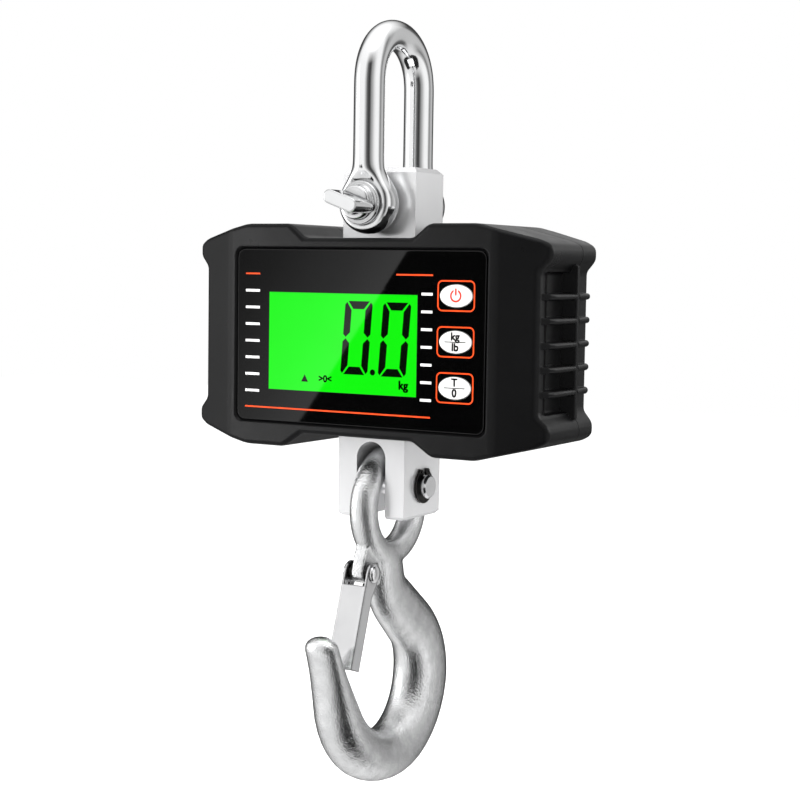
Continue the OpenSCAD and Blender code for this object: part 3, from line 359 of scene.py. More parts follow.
def grownVerts(grown):
    return [g for g in grown["geom"] if isinstance(g, bmesh.types.BMVert)]


def thicken(bm, push):  # flat faces into a solid
    grown = bmesh.ops.extrude_face_region(bm, geom=bm.faces[:])
    bmesh.ops.translate(bm, verts=grownVerts(grown), vec=push)
    bmesh.ops.recalc_face_normals(bm, faces=bm.faces)


def prism(corners, toPoint, push):  # a flat outline, pushed into a solid
    bm = bmesh.new()
    bm.faces.new([bm.verts.new(toPoint(*c)) for c in corners])
    thicken(bm, push)
    return bm


def plate(corners, y0, y1):  # an outline in X-Z, solid from y0 to y1, in mm
    return prism(corners, lambda x, z: (x * mm, y0 * mm, z * mm), (0, (y1 - y0) * mm, 0))


def block(low, high):
    bm = bmesh.new()
    bmesh.ops.create_cube(bm, size=1)
    low, high = Vector(low) * mm, Vector(high) * mm
    bmesh.ops.scale(bm, vec=high - low, verts=bm.verts)
    bmesh.ops.translate(bm, vec=(low + high) / 2, verts=bm.verts)
    return bm


def bevelEdges(bm, chosen, width, segments):
    if chosen:
        bmesh.ops.bevel(bm, geom=chosen, offset=width * mm, offset_type="OFFSET", affect="EDGES",
                        segments=segments, profile=0.5, material=-1, clamp_overlap=True)


def roundedFace(x, z, width, height, corner, y):
    bm = bmesh.new()
    for sx, sz in ((-1, -1), (1, -1), (1, 1), (-1, 1)):
        bm.verts.new(Vector((x + sx * width / 2, y, z + sz * height / 2)) * mm)
    bm.faces.new(bm.verts[:])
    bmesh.ops.bevel(bm, geom=bm.verts[:], offset=corner * mm, offset_type="OFFSET", affect="VERTICES",
                    segments=6, profile=0.5, material=-1)
    return bm


def sharpEdges(bm, angle, keep):
    limit = math.radians(angle)
    return [e for e in bm.edges if len(e.link_faces) == 2 and e.calc_face_angle(0) > limit and keep(e)]


def frontEdges(bm, y):  # the rim of the face at y
    return sharpEdges(bm, 40, lambda e: max(v.co.y for v in e.verts) < (y + 0.1) * mm)


def along(axis):  # edges that run along X, Y or Z
    return lambda e: abs((e.verts[1].co - e.verts[0].co).normalized()[axis]) > 0.999


toFront = Matrix.Rotation(math.pi / 2, 3, "X")  # stands what lies flat up to face the front


def ovalPlate(width, height, x, z, y0, y1, steps=64):
    bm = bmesh.new()
    bmesh.ops.create_circle(bm, cap_ends=True, segments=steps, radius=1)
    bmesh.ops.scale(bm, vec=(width / 2 * mm, height / 2 * mm, 1), verts=bm.verts)
    bmesh.ops.rotate(bm, matrix=toFront, verts=bm.verts)
    bmesh.ops.translate(bm, vec=(x * mm, y0 * mm, z * mm), verts=bm.verts)
    thicken(bm, (0, (y1 - y0) * mm, 0))
    return bm


def rodAlong(axis, diameter, start, end, place, steps=48):  # place: the two other coordinates, in mm
    bm = bmesh.new()
    bmesh.ops.create_cone(bm, cap_ends=True, segments=steps, radius1=diameter / 2 * mm,
                          radius2=diameter / 2 * mm, depth=(end - start) * mm)
    if axis != 2:
        bmesh.ops.rotate(bm, matrix=Matrix.Rotation(math.pi / 2, 3, "YX"[axis]), verts=bm.verts)
    centre = list(place)
    centre.insert(axis, (start + end) / 2)
    bmesh.ops.translate(bm, vec=Vector(centre) * mm, verts=bm.verts)
    return bm


def lathe(profile, steps=96):  # profile of (radius, along) in mm, turned about the Y axis
    bm = bmesh.new()
    line = [bm.verts.new(Vector((0, a, r)) * mm) for r, a in profile]
    edges = [bm.edges.new(pair) for pair in zip(line, line[1:])]
    bmesh.ops.spin(bm, geom=line + edges, cent=(0, 0, 0), axis=(0, 1, 0), angle=2 * math.pi, steps=steps,
                   use_merge=True)
    bmesh.ops.remove_doubles(bm, verts=bm.verts, dist=1e-6)
    bmesh.ops.recalc_face_normals(bm, faces=bm.faces)
    return bm


def shadeSmooth(mesh, angle):
    mesh.shade_smooth()
    mesh.set_sharp_from_angle(angle=math.radians(angle))


def toObject(bm, name, sharp=32):
    mesh = bpy.data.meshes.new(name)
    bm.to_mesh(mesh)
    bm.free()
    made = bpy.data.objects.new(name, mesh)
    bpy.context.scene.collection.objects.link(made)
    shadeSmooth(mesh, sharp)
    return made


def evaluated(made):
    bpy.context.view_layer.update()
    return bpy.data.meshes.new_from_object(made.evaluated_get(bpy.context.evaluated_depsgraph_get()))


def applyAll(made):  # the modifiers
    mesh = evaluated(made)
    made.modifiers.clear()
    old, made.data = made.data, mesh
    bpy.data.meshes.remove(old)
    return made


def settle(made, sharp=32):
    shadeSmooth(applyAll(made).data, sharp)
    return made


def evenOut(made):  # large faces shade flat, small ones take up the turn
    made.modifiers.new("even", "WEIGHTED_NORMAL").keep_sharp = True
    return applyAll(made)


def carve(made, cutters, operation="DIFFERENCE"):
    for bm in cutters:
        tool = toObject(bm, "cutter")
        cut = made.modifiers.new("cut", "BOOLEAN")
        cut.operation = operation
        cut.solver = "EXACT"
        cut.object = tool
        settle(made)
        bpy.data.objects.remove(tool)
    return made


def joinInto(bm, other, matrix=None):  # adds another bmesh's shape
    temp = bpy.data.meshes.new("part")
    other.to_mesh(temp)
    other.free()
    if matrix is not None:
        temp.transform(matrix)
    bm.from_mesh(temp)
    bpy.data.meshes.remove(temp)


def dress(made, body, finish, slot, *stands):
    made.data.materials.clear()
    made.data.materials.append(materials[finish])
    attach(made, body)
    if stands:
        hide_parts(*stands)
    return made


def mergedCopy(node):
    bm = bmesh.new()
    bm.from_mesh(cadNodes[node].data)
    bmesh.ops.remove_doubles(bm, verts=bm.verts, dist=2e-6)
    return bm


def forged(node, name, voxel, rounds):  # one flowing skin, as a forging has
    made = toObject(mergedCopy(node), name)
    skin = made.modifiers.new("skin", "REMESH")
    skin.mode = "VOXEL"
    skin.voxel_size = voxel * mm
    flow = made.modifiers.new("flow", "SMOOTH")
    flow.factor = 0.5
    flow.iterations = rounds
    return settle(made, 180)


# shackle

shackleSet = {
    "bar": 7.5, "legOut": 24, "crown": -16.5, "eye": 15, "eyeIn": 16.5, "bore": 8.1, "round": 2.4,
    "levels": 3, "earOut": 29.5, "collarRadius": 10.5, "collar": 3, "neckRadius": 8.25, "neck": 5,
    "shankRadius": 8, "headWidth": 19, "headThick": 6.7, "headLength": 12.5, "headHole": 5, "tilt": 20,
    "height": -75.7,
    "eyeSteps": 16, "lip": 1.2, "lipEdge": 4.5, "crease": 0.8, "opening": 0.68, "crownSteps": 7,
    "flare": ((1.0, -0.15, 0.3), (0.15, 0, 3.2), (0, 0, 7)),  # wider, deeper, and how far above the eye
    "midLeg": -38, "lastStep": 4,
}


def roundOff(verts, wide, deep, y, z):  # spreads a loop of points evenly round an oval, level at z
    ring = sorted(verts, key=lambda v: math.atan2(v.co.y - y * mm, v.co.x))
    first = min(range(len(ring)), key=lambda i: abs(ring[i].co.x) + (1 if ring[i].co.y < y * mm else 0))
    for i, v in enumerate(ring):
        turn = math.pi / 2 + (i - first) * 2 * math.pi / len(ring)
        v.co = Vector((wide * math.cos(turn), y + deep * math.sin(turn), z)) * mm


def drawnIn(steps):  # how far smoothing draws in a loop of so many points
    return 2 / 3 + math.cos(2 * math.pi / steps) / 3


def edgesAt(grown, z):
    return [g for g in grown["geom"] if isinstance(g, bmesh.types.BMEdge)
            and all(abs(v.co.z - z * mm) < 1e-7 for v in g.verts)]


def makeBow(s):  # an eye and its leg, raised from a few faces, then smoothed
    shrink = drawnIn(s["eyeSteps"])
    bore, eye, cut, lip = s["bore"] / shrink, s["eye"] / shrink, s["round"], s["lip"]
    inner, outer = s["eyeIn"], s["earOut"]
    section = [(bore, inner), (bore, outer), (bore + lip, outer), (eye - cut, outer), (eye, outer - cut),
               (eye, inner + cut), (eye - cut, inner), (bore + lip, inner)]
    bm = bmesh.new()
    line = [bm.verts.new(Vector((0, y, s["height"] + r)) * mm) for r, y in section]
    edges = [bm.edges.new(pair) for pair in zip(line, line[1:] + line[:1])]
    centre = Vector((0, 0, s["height"])) * mm
    bmesh.ops.spin(bm, geom=line + edges, cent=centre, axis=(0, 1, 0), angle=2 * math.pi,
                   steps=s["eyeSteps"], use_merge=True)
    bmesh.ops.remove_doubles(bm, verts=bm.verts, dist=1e-6)
    fromPin = lambda v: math.hypot(v.co.x, v.co.z - centre.z)
    crease = bm.edges.layers.float.new("crease_edge")
    for e in bm.edges:
        if all(abs(fromPin(v) - bore * mm) < 1e-5 for v in e.verts) and e.calc_length() < s["lipEdge"] * mm:
            e[crease] = s["crease"]
    rim = [f for f in bm.faces if f.calc_center_median().z > centre.z + (eye * s["opening"]) * mm
           and all(fromPin(v) > (eye - cut - 0.1) * mm for v in f.verts)]
    bmesh.ops.delete(bm, geom=rim, context="FACES")
    loop = [e for e in bm.edges if e.is_boundary]
    bar = s["bar"] / drawnIn(len(loop))
    low = s["height"] + s["eye"]
    levels = [(bar + wider, bar + deeper, low + above) for wider, deeper, above in s["flare"]]
    levels += [(bar, bar, s["midLeg"]), (bar, bar, s["crown"] - s["lastStep"])]
    for wide, deep, z in levels:
        grown = bmesh.ops.extrude_edge_only(bm, edges=loop)
        roundOff(grownVerts(grown), wide, deep, s["legOut"], z)
        loop = edgesAt(grown, z)
    grown = bmesh.ops.extrude_edge_only(bm, edges=loop)
    bmesh.ops.translate(bm, verts=grownVerts(grown), vec=(0, 0, s["lastStep"] * mm))
    loop = edgesAt(grown, s["crown"])
    loopVerts = list(dict.fromkeys(v for e in loop for v in e.verts))
    bmesh.ops.spin(bm, geom=loopVerts + loop, cent=(0, 0, s["crown"] * mm), axis=(1, 0, 0), angle=math.pi / 2,
                   steps=s["crownSteps"], use_merge=False)
    bmesh.ops.mirror(bm, geom=wholeOf(bm), axis="Y", merge_dist=1e-5)
    bmesh.ops.remove_doubles(bm, verts=bm.verts, dist=1e-6)
    bmesh.ops.recalc_face_normals(bm, faces=bm.faces)
    bow = toObject(bm, "shackleBow", 180)
    smooth = bow.modifiers.new("smooth", "SUBSURF")
    smooth.levels = smooth.render_levels = s["levels"]
    return settle(bow, 60)


def makeShackle(s):
    dress(makeBow(s), "shackle", "mirrorSteel", "polished_steel", "shackle_bow")
    out, r = s["earOut"], s["shankRadius"]
    collarIn, neckIn = -out - s["collar"], -out - s["collar"] - s["neck"]
    c, n = s["collarRadius"], s["neckRadius"]
    shank = [(0, out + 2.5), (r - 1.7, out + 2.5), (r - 1.5, out + 2.4), (r - 0.1, out + 1.1), (r, out + 0.9)]
    collar = [(r, -out), (c - 0.5, -out), (c - 0.15, -out - 0.15), (c, -out - 0.5), (c, collarIn + 0.6),
              (c - 0.2, collarIn + 0.2), (c - 0.6, collarIn)]
    neck = [(n + 0.9, collarIn), (n + 0.3, collarIn - 0.3), (n, collarIn - 1.0), (n, neckIn + 1.6),
            (n - 0.5, neckIn + 0.5), (n - 1.6, neckIn), (0, neckIn)]
    pin = toObject(lathe(shank + collar + neck), "shacklePin")
    end = neckIn - s["headLength"]
    wide, thick = s["headWidth"] / 2, s["headThick"] / 2
    head = block((-wide, end, -thick), (wide, collarIn - 1.5, thick))
    bevelEdges(head, [e for e in head.edges if along(1)(e)], thick - 0.02, 8)
    bevelEdges(head, frontEdges(head, end), 0.9, 4)
    carve(pin, [head], "UNION")
    carve(pin, [rodAlong(2, s["headHole"], -12, 12, (0, neckIn - s["headLength"] / 2))])
    tilt = Matrix.Rotation(math.radians(s["tilt"]), 4, "Y")
    pin.data.transform(Matrix.Translation((0, 0, s["height"] * mm)) @ tilt)
    dress(evenOut(pin), "shackle", "mirrorSteel", "polished_steel", "shackle_pin")


makeShackle(shackleSet)
print("shackle made")

# hook and latch

hookSet = {"voxel": 0.8, "rounds": 7}
latchSet = {
    "pivot": (0, -25, -256.34), "lean": 18, "half": 7, "sheet": 1.2, "front": 5.6, "back": 2, "ear": 5.5,
    "shoulder": -7, "length": 48, "bend": 0.5, "hole": 4.16, "neck": (0.8, -4, -12), "soft": 0.15,
}
springSet = {
    "wire": 1.0, "coil": 2.9, "start": 3.45, "turns": 2, "turnSteps": 28, "tail": (0.6, 6),
    "bow": (4.2, -3.4), "bowEnds": (-13, -5.5),  # half width and how far out; lower and upper end
}


def latchFrame():
    lean = Matrix.Rotation(math.radians(-latchSet["lean"]), 4, "X")
    return Matrix.Translation(Vector(latchSet["pivot"]) * mm) @ lean


def makeLatch(s):
    bm = bmesh.new()
    ear = s["ear"]
    crown = [(-ear * math.cos(math.radians(a)), ear * math.sin(math.radians(a))) for a in range(0, 181, 12)]
    neckIn, neckTop, neckLow = s["neck"]
    side = [(-s["front"], -s["length"]), (-s["front"], s["shoulder"])] + crown
    side += [(ear - neckIn, neckTop), (s["back"], neckLow), (s["back"], -s["length"])]
    cheeks = []
    for x in (-s["half"], s["half"]):
        cheeks.append([bm.verts.new((x * mm, y * mm, z * mm)) for y, z in side])
        bm.faces.new(cheeks[-1])
    bm.faces.new((cheeks[0][0], cheeks[0][1], cheeks[1][1], cheeks[1][0]))
    bmesh.ops.recalc_face_normals(bm, faces=bm.faces)
    bends = [e for e in bm.edges if len(e.link_faces) == 2]
    bevelEdges(bm, bends, s["bend"], 5)
    web = min(bm.faces, key=lambda f: f.calc_center_median().y)
    if web.normal.y > 0:
        bmesh.ops.reverse_faces(bm, faces=bm.faces)
    latch = toObject(bm, "latchSheet")
    wall = latch.modifiers.new("wall", "SOLIDIFY")
    wall.thickness = s["sheet"] * mm
    wall.offset = -1
    wall.use_even_offset = True
    settle(latch)
    carve(latch, [rodAlong(0, s["hole"], -12, 12, (0, 0))])
    soft = latch.modifiers.new("soft", "BEVEL")
    soft.width = s["soft"] * mm
    soft.segments = 2
    soft.limit_method = "ANGLE"
    soft.angle_limit = math.radians(50)
    settle(latch, 30)
    latch.data.transform(latchFrame())
    return dress(evenOut(latch), "latch", "brightSheet", "bright_sheet", "latch")


def makeSpring(s):
    steps = s["turnSteps"] * s["turns"]
    rise = s["wire"] * s["turns"] * mm / steps
    tailIn, tailUp = s["tail"]
    coils = bmesh.new()
    for mirrored in (1, -1):
        bm = bmesh.new()
        bmesh.ops.create_circle(bm, cap_ends=False, segments=10, radius=s["wire"] / 2 * mm)
        bmesh.ops.translate(bm, vec=(s["start"] * mm, s["coil"] * mm, 0), verts=bm.verts)
        ends = bmesh.ops.spin(bm, geom=bm.verts[:] + bm.edges[:], cent=(0, 0, 0), axis=(1, 0, 0),
                              dvec=(rise, 0, 0), angle=-2 * math.pi * s["turns"], steps=steps,
                              use_merge=False)["geom_last"]
        grown = bmesh.ops.extrude_edge_only(bm, edges=[g for g in ends if isinstance(g, bmesh.types.BMEdge)])
        bmesh.ops.translate(bm, verts=grownVerts(grown), vec=(0, tailIn * mm, tailUp * mm))
        bmesh.ops.holes_fill(bm, edges=[e for e in bm.edges if e.is_boundary], sides=0)
        bmesh.ops.recalc_face_normals(bm, faces=bm.faces)
        joinInto(coils, bm, Matrix.Scale(mirrored, 4, (1, 0, 0)))
    bmesh.ops.recalc_face_normals(coils, faces=coils.faces)
    coil = toObject(coils, "latchSpringCoils", 60)
    coil.data.transform(latchFrame())
    dress(coil, "hook", "blackedSteel", "black_steel", "latch_spring")
    (half, out), (low, high) = s["bow"], s["bowEnds"]
    bm = rodAlong(0, s["wire"], -half, half, (out, low), 12)
    for x in (-half, half):
        joinInto(bm, rodAlong(2, s["wire"], low, high, (x, out), 12))
    legs = toObject(bm, "latchSpringBow", 60)
    legs.data.transform(latchFrame())
    dress(legs, "latch", "blackedSteel", "black_steel")


forgedHook = forged("hook", "forgedHook", hookSet["voxel"], hookSet["rounds"])
dress(forgedHook, "hook", "galvanisedSteel", "galvanised_steel", "hook")
makeLatch(latchSet)
makeSpring(springSet)
print("hook, latch and spring made")

# housing

housingSet = {
    "half": (99.4, 55.2), "middle": -140.9, "depth": 34, "parting": 8.7, "wall": 3.5,
    "taperWidth": 25, "taper": 8.4, "recess": 5.4, "recessDrop": 21.9, "soft": 2.4, "softSteps": 4,
    "seamSoft": 0.25,
    "shoulder": ((34.4, 0), (4.7, 7.4), (0, 10.2), (0, 16.4)),  # in from the end, and down from the top
    "topNotch": (30.5, 39, 6.9), "lowNotch": (31.3, 42, 7.0), "topSlot": (21.2, 14), "lowSlot": (19.5, 18.25),
    "finCount": 5, "finPitch": 11.3, "finThick": 3, "finDrop": 0.8, "finRoot": 6, "proud": 4.4,
    "noses": {-1: ((-0.4, 1), (3.2, 5), (4.4, 11)), 1: ((-0.5, -1), (2.9, 2), (4.4, 6))},  # front, rear
    "rib": 3.3, "ribHalf": 36.5, "ribSoft": 0.9, "dish": 3.5, "dishHalf": 33.2, "dishEase": 9,
    "dishSoft": 1.6, "cavity": ((-86, 28), (-60, 44), (60, 44), (86, 28)), "door": (27.6, 68.4, 35.45, 3),
    "screw": (8, 80.4, 40.2), "inlet": (15.4, -48, -27.6),  # diameter, and place from the middle
}


def housingOutline(s):
    w, h = s["half"]
    end = [(w - inward, h - drop) for inward, drop in s["shoulder"]]
    end += [(w - s["recess"], h - s["recessDrop"])]
    (topIn, topOut, topDeep), (lowIn, lowOut, lowDeep) = s["topNotch"], s["lowNotch"]
    right = [(topIn, h - topDeep), (topOut, h)] + end
    right += [(x, -z) for x, z in reversed(end)] + [(lowOut, -h), (lowIn, -h + lowDeep)]
    return [(x, z + s["middle"]) for x, z in right + [(-x, z) for x, z in reversed(right)]]


def sliceTapers(bm, s, depth):  # thins it towards both ends, and closes the cuts
    flat = s["half"][0] - s["taperWidth"]
    for side in (-1, 1):
        for face in (-1, 1):
            bmesh.ops.bisect_plane(bm, geom=wholeOf(bm), plane_co=Vector((side * flat, face * depth, 0)) * mm,
                                   plane_no=(side * s["taper"], face * s["taperWidth"], 0), clear_outer=True,
                                   dist=1e-7)
            bmesh.ops.holes_fill(bm, edges=[e for e in bm.edges if e.is_boundary], sides=0)


def shellBlank(s, y0, y1):
    bm = plate(housingOutline(s), y0, y1)
    sliceTapers(bm, s, s["depth"])
    seam = s["parting"] * mm
    atSeam = lambda e: all(abs(v.co.y - seam) < 1e-6 for v in e.verts)
    bevelEdges(bm, sharpEdges(bm, 10, lambda e: not atSeam(e)), s["soft"], s["softSteps"])
    bevelEdges(bm, sharpEdges(bm, 30, atSeam), s["seamSoft"], 2)
    return bm


def endRib(s, side):
    w, h = s["half"][0] - s["recess"], s["ribHalf"]
    bm = block((w - 4, s["parting"] - s["rib"], s["middle"] - h),
               (w + s["proud"], s["parting"] - 0.02, s["middle"] + h))
    bevelEdges(bm, [e for e in bm.edges if min(v.co.x for v in e.verts) > (w + 1) * mm], s["ribSoft"], 3)
    if side < 0:
        bmesh.ops.mirror(bm, geom=wholeOf(bm), axis="X")
    return bm


def fin(s, side, face, index, seam):  # face: -1 on the front shell, 1 on the rear
    w, d = s["half"][0] - s["recess"], s["depth"] - s["taper"]
    root = w - s["finRoot"]
    z = s["middle"] - s["finDrop"] + (index - (s["finCount"] - 1) / 2) * s["finPitch"]
    low = z - s["finThick"] / 2
    nose = [(w + out, face * (d - inward)) for out, inward in s["noses"][face]]
    outline = [(root, nose[0][1])] + nose + [(w + s["proud"], seam), (root, seam)]
    bm = prism(outline, lambda x, y: (side * x * mm, y * mm, low * mm), (0, 0, s["finThick"] * mm))
    outer = lambda e: all(side * v.co.x > (w - 0.1) * mm for v in e.verts) and not along(2)(e)
    bevelEdges(bm, sharpEdges(bm, 20, outer), s["finThick"] / 2 - 0.05, 4)
    return bm


def endDish(s, side):
    w, half = s["half"][0] - s["recess"], s["dishHalf"]
    start, end = s["taper"] - s["depth"] + 2, s["parting"] - s["rib"] + 1
    deep, ease = w - s["dish"], start + 2 + s["dishEase"]
    outline = [(w + 9, start), (w + 1, start), (deep, ease), (deep, end), (w + 9, end)]
    low = (s["middle"] - half) * mm
    bm = prism(outline, lambda x, y: (side * x * mm, y * mm, low), (0, 0, 2 * half * mm))
    inside = lambda e: all(side * v.co.x < (w + 2) * mm for v in e.verts)
    bevelEdges(bm, sharpEdges(bm, 20, inside), s["dishSoft"], 4)
    return bm


panelSet = {
    "half": (70.0, 42.55), "middle": -140.95, "front": -33.3, "back": -31.8, "corner": 4,
    "window": (-50.9, 33.7, -167.7, -119.5), "keyX": 54.4, "keys": (-119.45, -140.95, -162.45),
    "keySize": (17.1, 10.5), "keyGap": 0.36,
}


def roundedPlate(half, middle, corner, y0, y1):
    bm = roundedFace(0, middle, 2 * half[0], 2 * half[1], corner, y0)
    thicken(bm, (0, (y1 - y0) * mm, 0))
    return bm


def keyHoles(p, y0, y1):
    width, height = (size + 2 * p["keyGap"] for size in p["keySize"])
    return [ovalPlate(width, height, p["keyX"], z, y0, y1) for z in p["keys"]]


def panelSeat(p, depth):  # the recess, a little wider at its mouth
    w, h = p["half"]
    bm = roundedPlate((w + 0.2, h + 0.2), p["middle"], p["corner"] + 0.2, -depth - 1, p["back"])
    mouth = [v for v in bm.verts if v.co.y < (-depth - 0.5) * mm]
    bmesh.ops.translate(bm, verts=mouth, vec=(0, 0.5 * mm, 0))
    for v in mouth:
        v.co.x += math.copysign(1.5, v.co.x) * mm
        v.co.z += math.copysign(1.5, v.co.z - p["middle"] * mm) * mm
    return bm


def hollow(s, y0, y1):
    upper = s["cavity"]
    corners = [*upper, *((x, -z) for x, z in reversed(upper))]
    bm = plate([(x, z + s["middle"]) for x, z in corners], y0, y1)
    sliceTapers(bm, s, s["depth"] - s["wall"])
    return bm


def cellSlots(s):  # where the load cell passes through the top and the bottom
    m, end = s["middle"], s["half"][1] + 5
    (topX, topY), (lowX, lowY) = s["topSlot"], s["lowSlot"]
    return [block((-topX, -topY, m), (topX, topY, m + end)), block((-lowX, -lowY, m - end), (lowX, lowY, m))]


def makeHousing(s, p):
    d, seam, inner, m = s["depth"], s["parting"], s["depth"] - s["wall"], s["middle"]
    front = toObject(shellBlank(s, -d, seam), "frontShell")
    rear = toObject(shellBlank(s, seam, d), "rearShell")
    x0, x1, z0, z1 = p["window"]
    cuts = [endDish(s, 1), endDish(s, -1), hollow(s, -inner, seam + 1), panelSeat(p, d),
            block((x0 - 0.5, -d, z0 - 0.5), (x1 + 0.5, 1 - inner, z1 + 0.5))]
    carve(front, cuts + cellSlots(s) + keyHoles(p, -d, 1 - inner))
    raised = [endRib(s, side) for side in (-1, 1)]
    raised += [fin(s, side, -1, i, seam - s["rib"] + 0.5) for side in (-1, 1) for i in range(s["finCount"])]
    carve(front, raised, "UNION")
    doorLeft, doorRight, doorHalf, doorDeep = s["door"]
    screwHead, screwX, screwZ = s["screw"]
    inletSeat, inletX, inletZ = s["inlet"]
    cuts = [hollow(s, seam - 1, inner)] + cellSlots(s)
    cuts += [block((doorLeft, d - doorDeep, m - doorHalf), (doorRight, d + 1, m + doorHalf))]
    corners = [(sx * screwX, m + sz * screwZ) for sx in (-1, 1) for sz in (-1, 1)]
    cuts += [rodAlong(1, screwHead, d - 5, d + 1, corner) for corner in corners]
    carve(rear, cuts + [rodAlong(1, inletSeat, d - 5, d + 1, (inletX, m + inletZ))])
    carve(rear, [fin(s, side, 1, i, seam + 0.02) for side in (-1, 1) for i in range(s["finCount"])], "UNION")
    dress(evenOut(front), "scale", "satinMoulding", "housing_black", "front_housing")
    dress(evenOut(rear), "scale", "satinMoulding", "housing_black", "rear_housing")


makeHousing(housingSet, panelSet)
print("housing made")

# panel, display and keys


def makePanel(p):
    bm = roundedPlate(p["half"], p["middle"], p["corner"], p["back"], p["front"])
    bevelEdges(bm, frontEdges(bm, p["front"]), 0.3, 2)
    sheet = toObject(bm, "panelSheet")
    x0, x1, z0, z1 = p["window"]
    before, behind = p["front"] - 2.7, p["back"] + 1.8
    carve(sheet, [block((x0, before, z0), (x1, behind, z1))] + keyHoles(p, before, behind))
    dress(evenOut(sheet), "scale", "glossPanel", "panel_gloss", "front_panel")
    pane = toObject(block((x0, p["front"], z0), (x1, p["front"] + 1.3, z1)), "displayPane")
    dress(pane, "scale", "litDisplay", "display_green")


inkSet = {
    "raise": 0.03, "line": 0.75, "tick": 1.25, "outline": (19.9, 14.6, 2.6, 0.7),
    "ticks": (7, -118.9, 50 / 6), "tickColumns": ((-65.2, -56.7), (35.9, 41.9)),  # count, first and pitch
    "lines": ((-65.2, -56.7, -110.5), (22, 41.9, -110.0), (-65.2, 41.5, -177.0)),
}
digitSet = {
    "width": 15.4, "height": 35.5, "thick": 3.8, "lean": 0.0754, "at": ((-8.85, -158.5), (12.45, -158.7)),
    "point": (9.5, -157.0, 1.45), "mark": ((-31.5, -163.2), (-27.5, -163.2), (-29.5, -159.6)),
    "words": (("kg", 5.8, 26.6, -162.6, 0.24), (">0<", 4.6, -17.5, -161.4, 0.18)),
}


def inkBar(bm, x0, x1, z, thick, y):
    joinInto(bm, block((x0, y - inkSet["raise"], z - thick / 2), (x1, y, z + thick / 2)))


def inkFrame(bm, x, z, y):
    width, height, corner, line = inkSet["outline"]
    ring = roundedFace(x, z, width, height, corner, y)
    inner = ring.faces[:]
    bmesh.ops.inset_region(ring, faces=inner, thickness=line * mm, use_even_offset=True, use_boundary=True)
    bmesh.ops.delete(ring, geom=inner, context="FACES")
    pushOut(ring)
    joinInto(bm, ring)


def pushOut(bm):  # gives flat ink its thickness
    thicken(bm, (0, -inkSet["raise"] * mm, 0))


def inkShape(bm, corners, y):
    one = bmesh.new()
    one.faces.new([one.verts.new(Vector((x, y, z)) * mm) for x, z in corners])
    pushOut(one)
    joinInto(bm, one)


def digitZero(bm, left, low, y):
    w, h, t = digitSet["width"], digitSet["height"], digitSet["thick"]
    cap = [(1.7, h), (w - 1.7, h), (w - t - 0.9, h - t), (t + 0.9, h - t)]
    post = [(0, h - 1.7), (1.0, h - 0.5), (t, h - t - 0.6), (t, h / 2 + 2.6), (1.5, h / 2 + 0.35),
            (0, h / 2 + 1.8)]
    strokes = [cap, [(x, h - z) for x, z in cap], post, [(w - x, z) for x, z in post]]
    strokes += [[(x, h - z) for x, z in post], [(w - x, h - z) for x, z in post]]
    for stroke in strokes:
        inkShape(bm, [(left + x + z * digitSet["lean"], low + z) for x, z in stroke], y)


def lettering(words, size, x, z, y, weight):  # units and figures only
    data = bpy.data.curves.new("words", "FONT")
    data.body = words
    data.size = size * mm
    data.align_x = "CENTER"
    data.align_y = "CENTER"
    made = bpy.data.objects.new("words", data)
    bpy.context.scene.collection.objects.link(made)
    flat = evaluated(made)
    bpy.data.objects.remove(made)
    bm = bmesh.new()
    bm.from_mesh(flat)
    bpy.data.meshes.remove(flat)
    bmesh.ops.remove_doubles(bm, verts=bm.verts, dist=1e-7)
    bmesh.ops.rotate(bm, matrix=toFront, verts=bm.verts)
    bmesh.ops.translate(bm, vec=Vector((x, y, z)) * mm, verts=bm.verts)
    pushOut(bm)
    thick = bm.copy()
    for dx, dz in ((1, 0.6), (-1, 0.6), (0.6, -1), (-0.6, -1)):  # thickens the strokes
        joinInto(thick, bm.copy(), Matrix.Translation((dx * weight * mm, 0, dz * weight * mm)))
    bm.free()
    return thick


def makePrint(p):
    y = p["front"]
    white, orange, shown = bmesh.new(), bmesh.new(), bmesh.new()
    count, first, pitch = inkSet["ticks"]
    for i in range(count):
        for x0, x1 in inkSet["tickColumns"]:
            inkBar(white, x0, x1, first - i * pitch, inkSet["tick"], y)
    for x0, x1, z in inkSet["lines"]:
        inkBar(orange, x0, x1, z, inkSet["line"], y)
    for z in p["keys"]:
        inkFrame(orange, p["keyX"], z, y)
    for left, low in digitSet["at"]:
        digitZero(shown, left, low, y)
    px, pz, radius = digitSet["point"]
    joinInto(shown, ovalPlate(2 * radius, 2 * radius, px, pz, y, y - inkSet["raise"], 32))
    for words, size, x, z, weight in digitSet["words"]:
        joinInto(shown, lettering(words, size, x, z, y, weight))
    inkShape(shown, digitSet["mark"], y)
    dress(toObject(white, "scaleTicks"), "scale", "whiteInk", "key_white")
    dress(toObject(orange, "orangeLines"), "scale", "orangeInk", "panel_gloss")
    dress(toObject(shown, "displayFigures"), "scale", "displayInk", "panel_gloss")


keySet = {
    "below": 0.4, "round": 0.5, "flange": 3, "flangeAt": (-30.2, -29.2), "stem": (4, -29.3, -28.4),
    "ring": (2.15, 3.05), "gap": (1.15, 1.2), "stroke": (0.45, 0.2, 3.5),  # the power mark
    "divide": (5.6, 0.22), "words": (5.2, 2.5, 0.22),  # size, distance from the middle, weight
    "marks": {"hold_key": ("kg", "lb"), "tare_key": ("T", "0")},
}


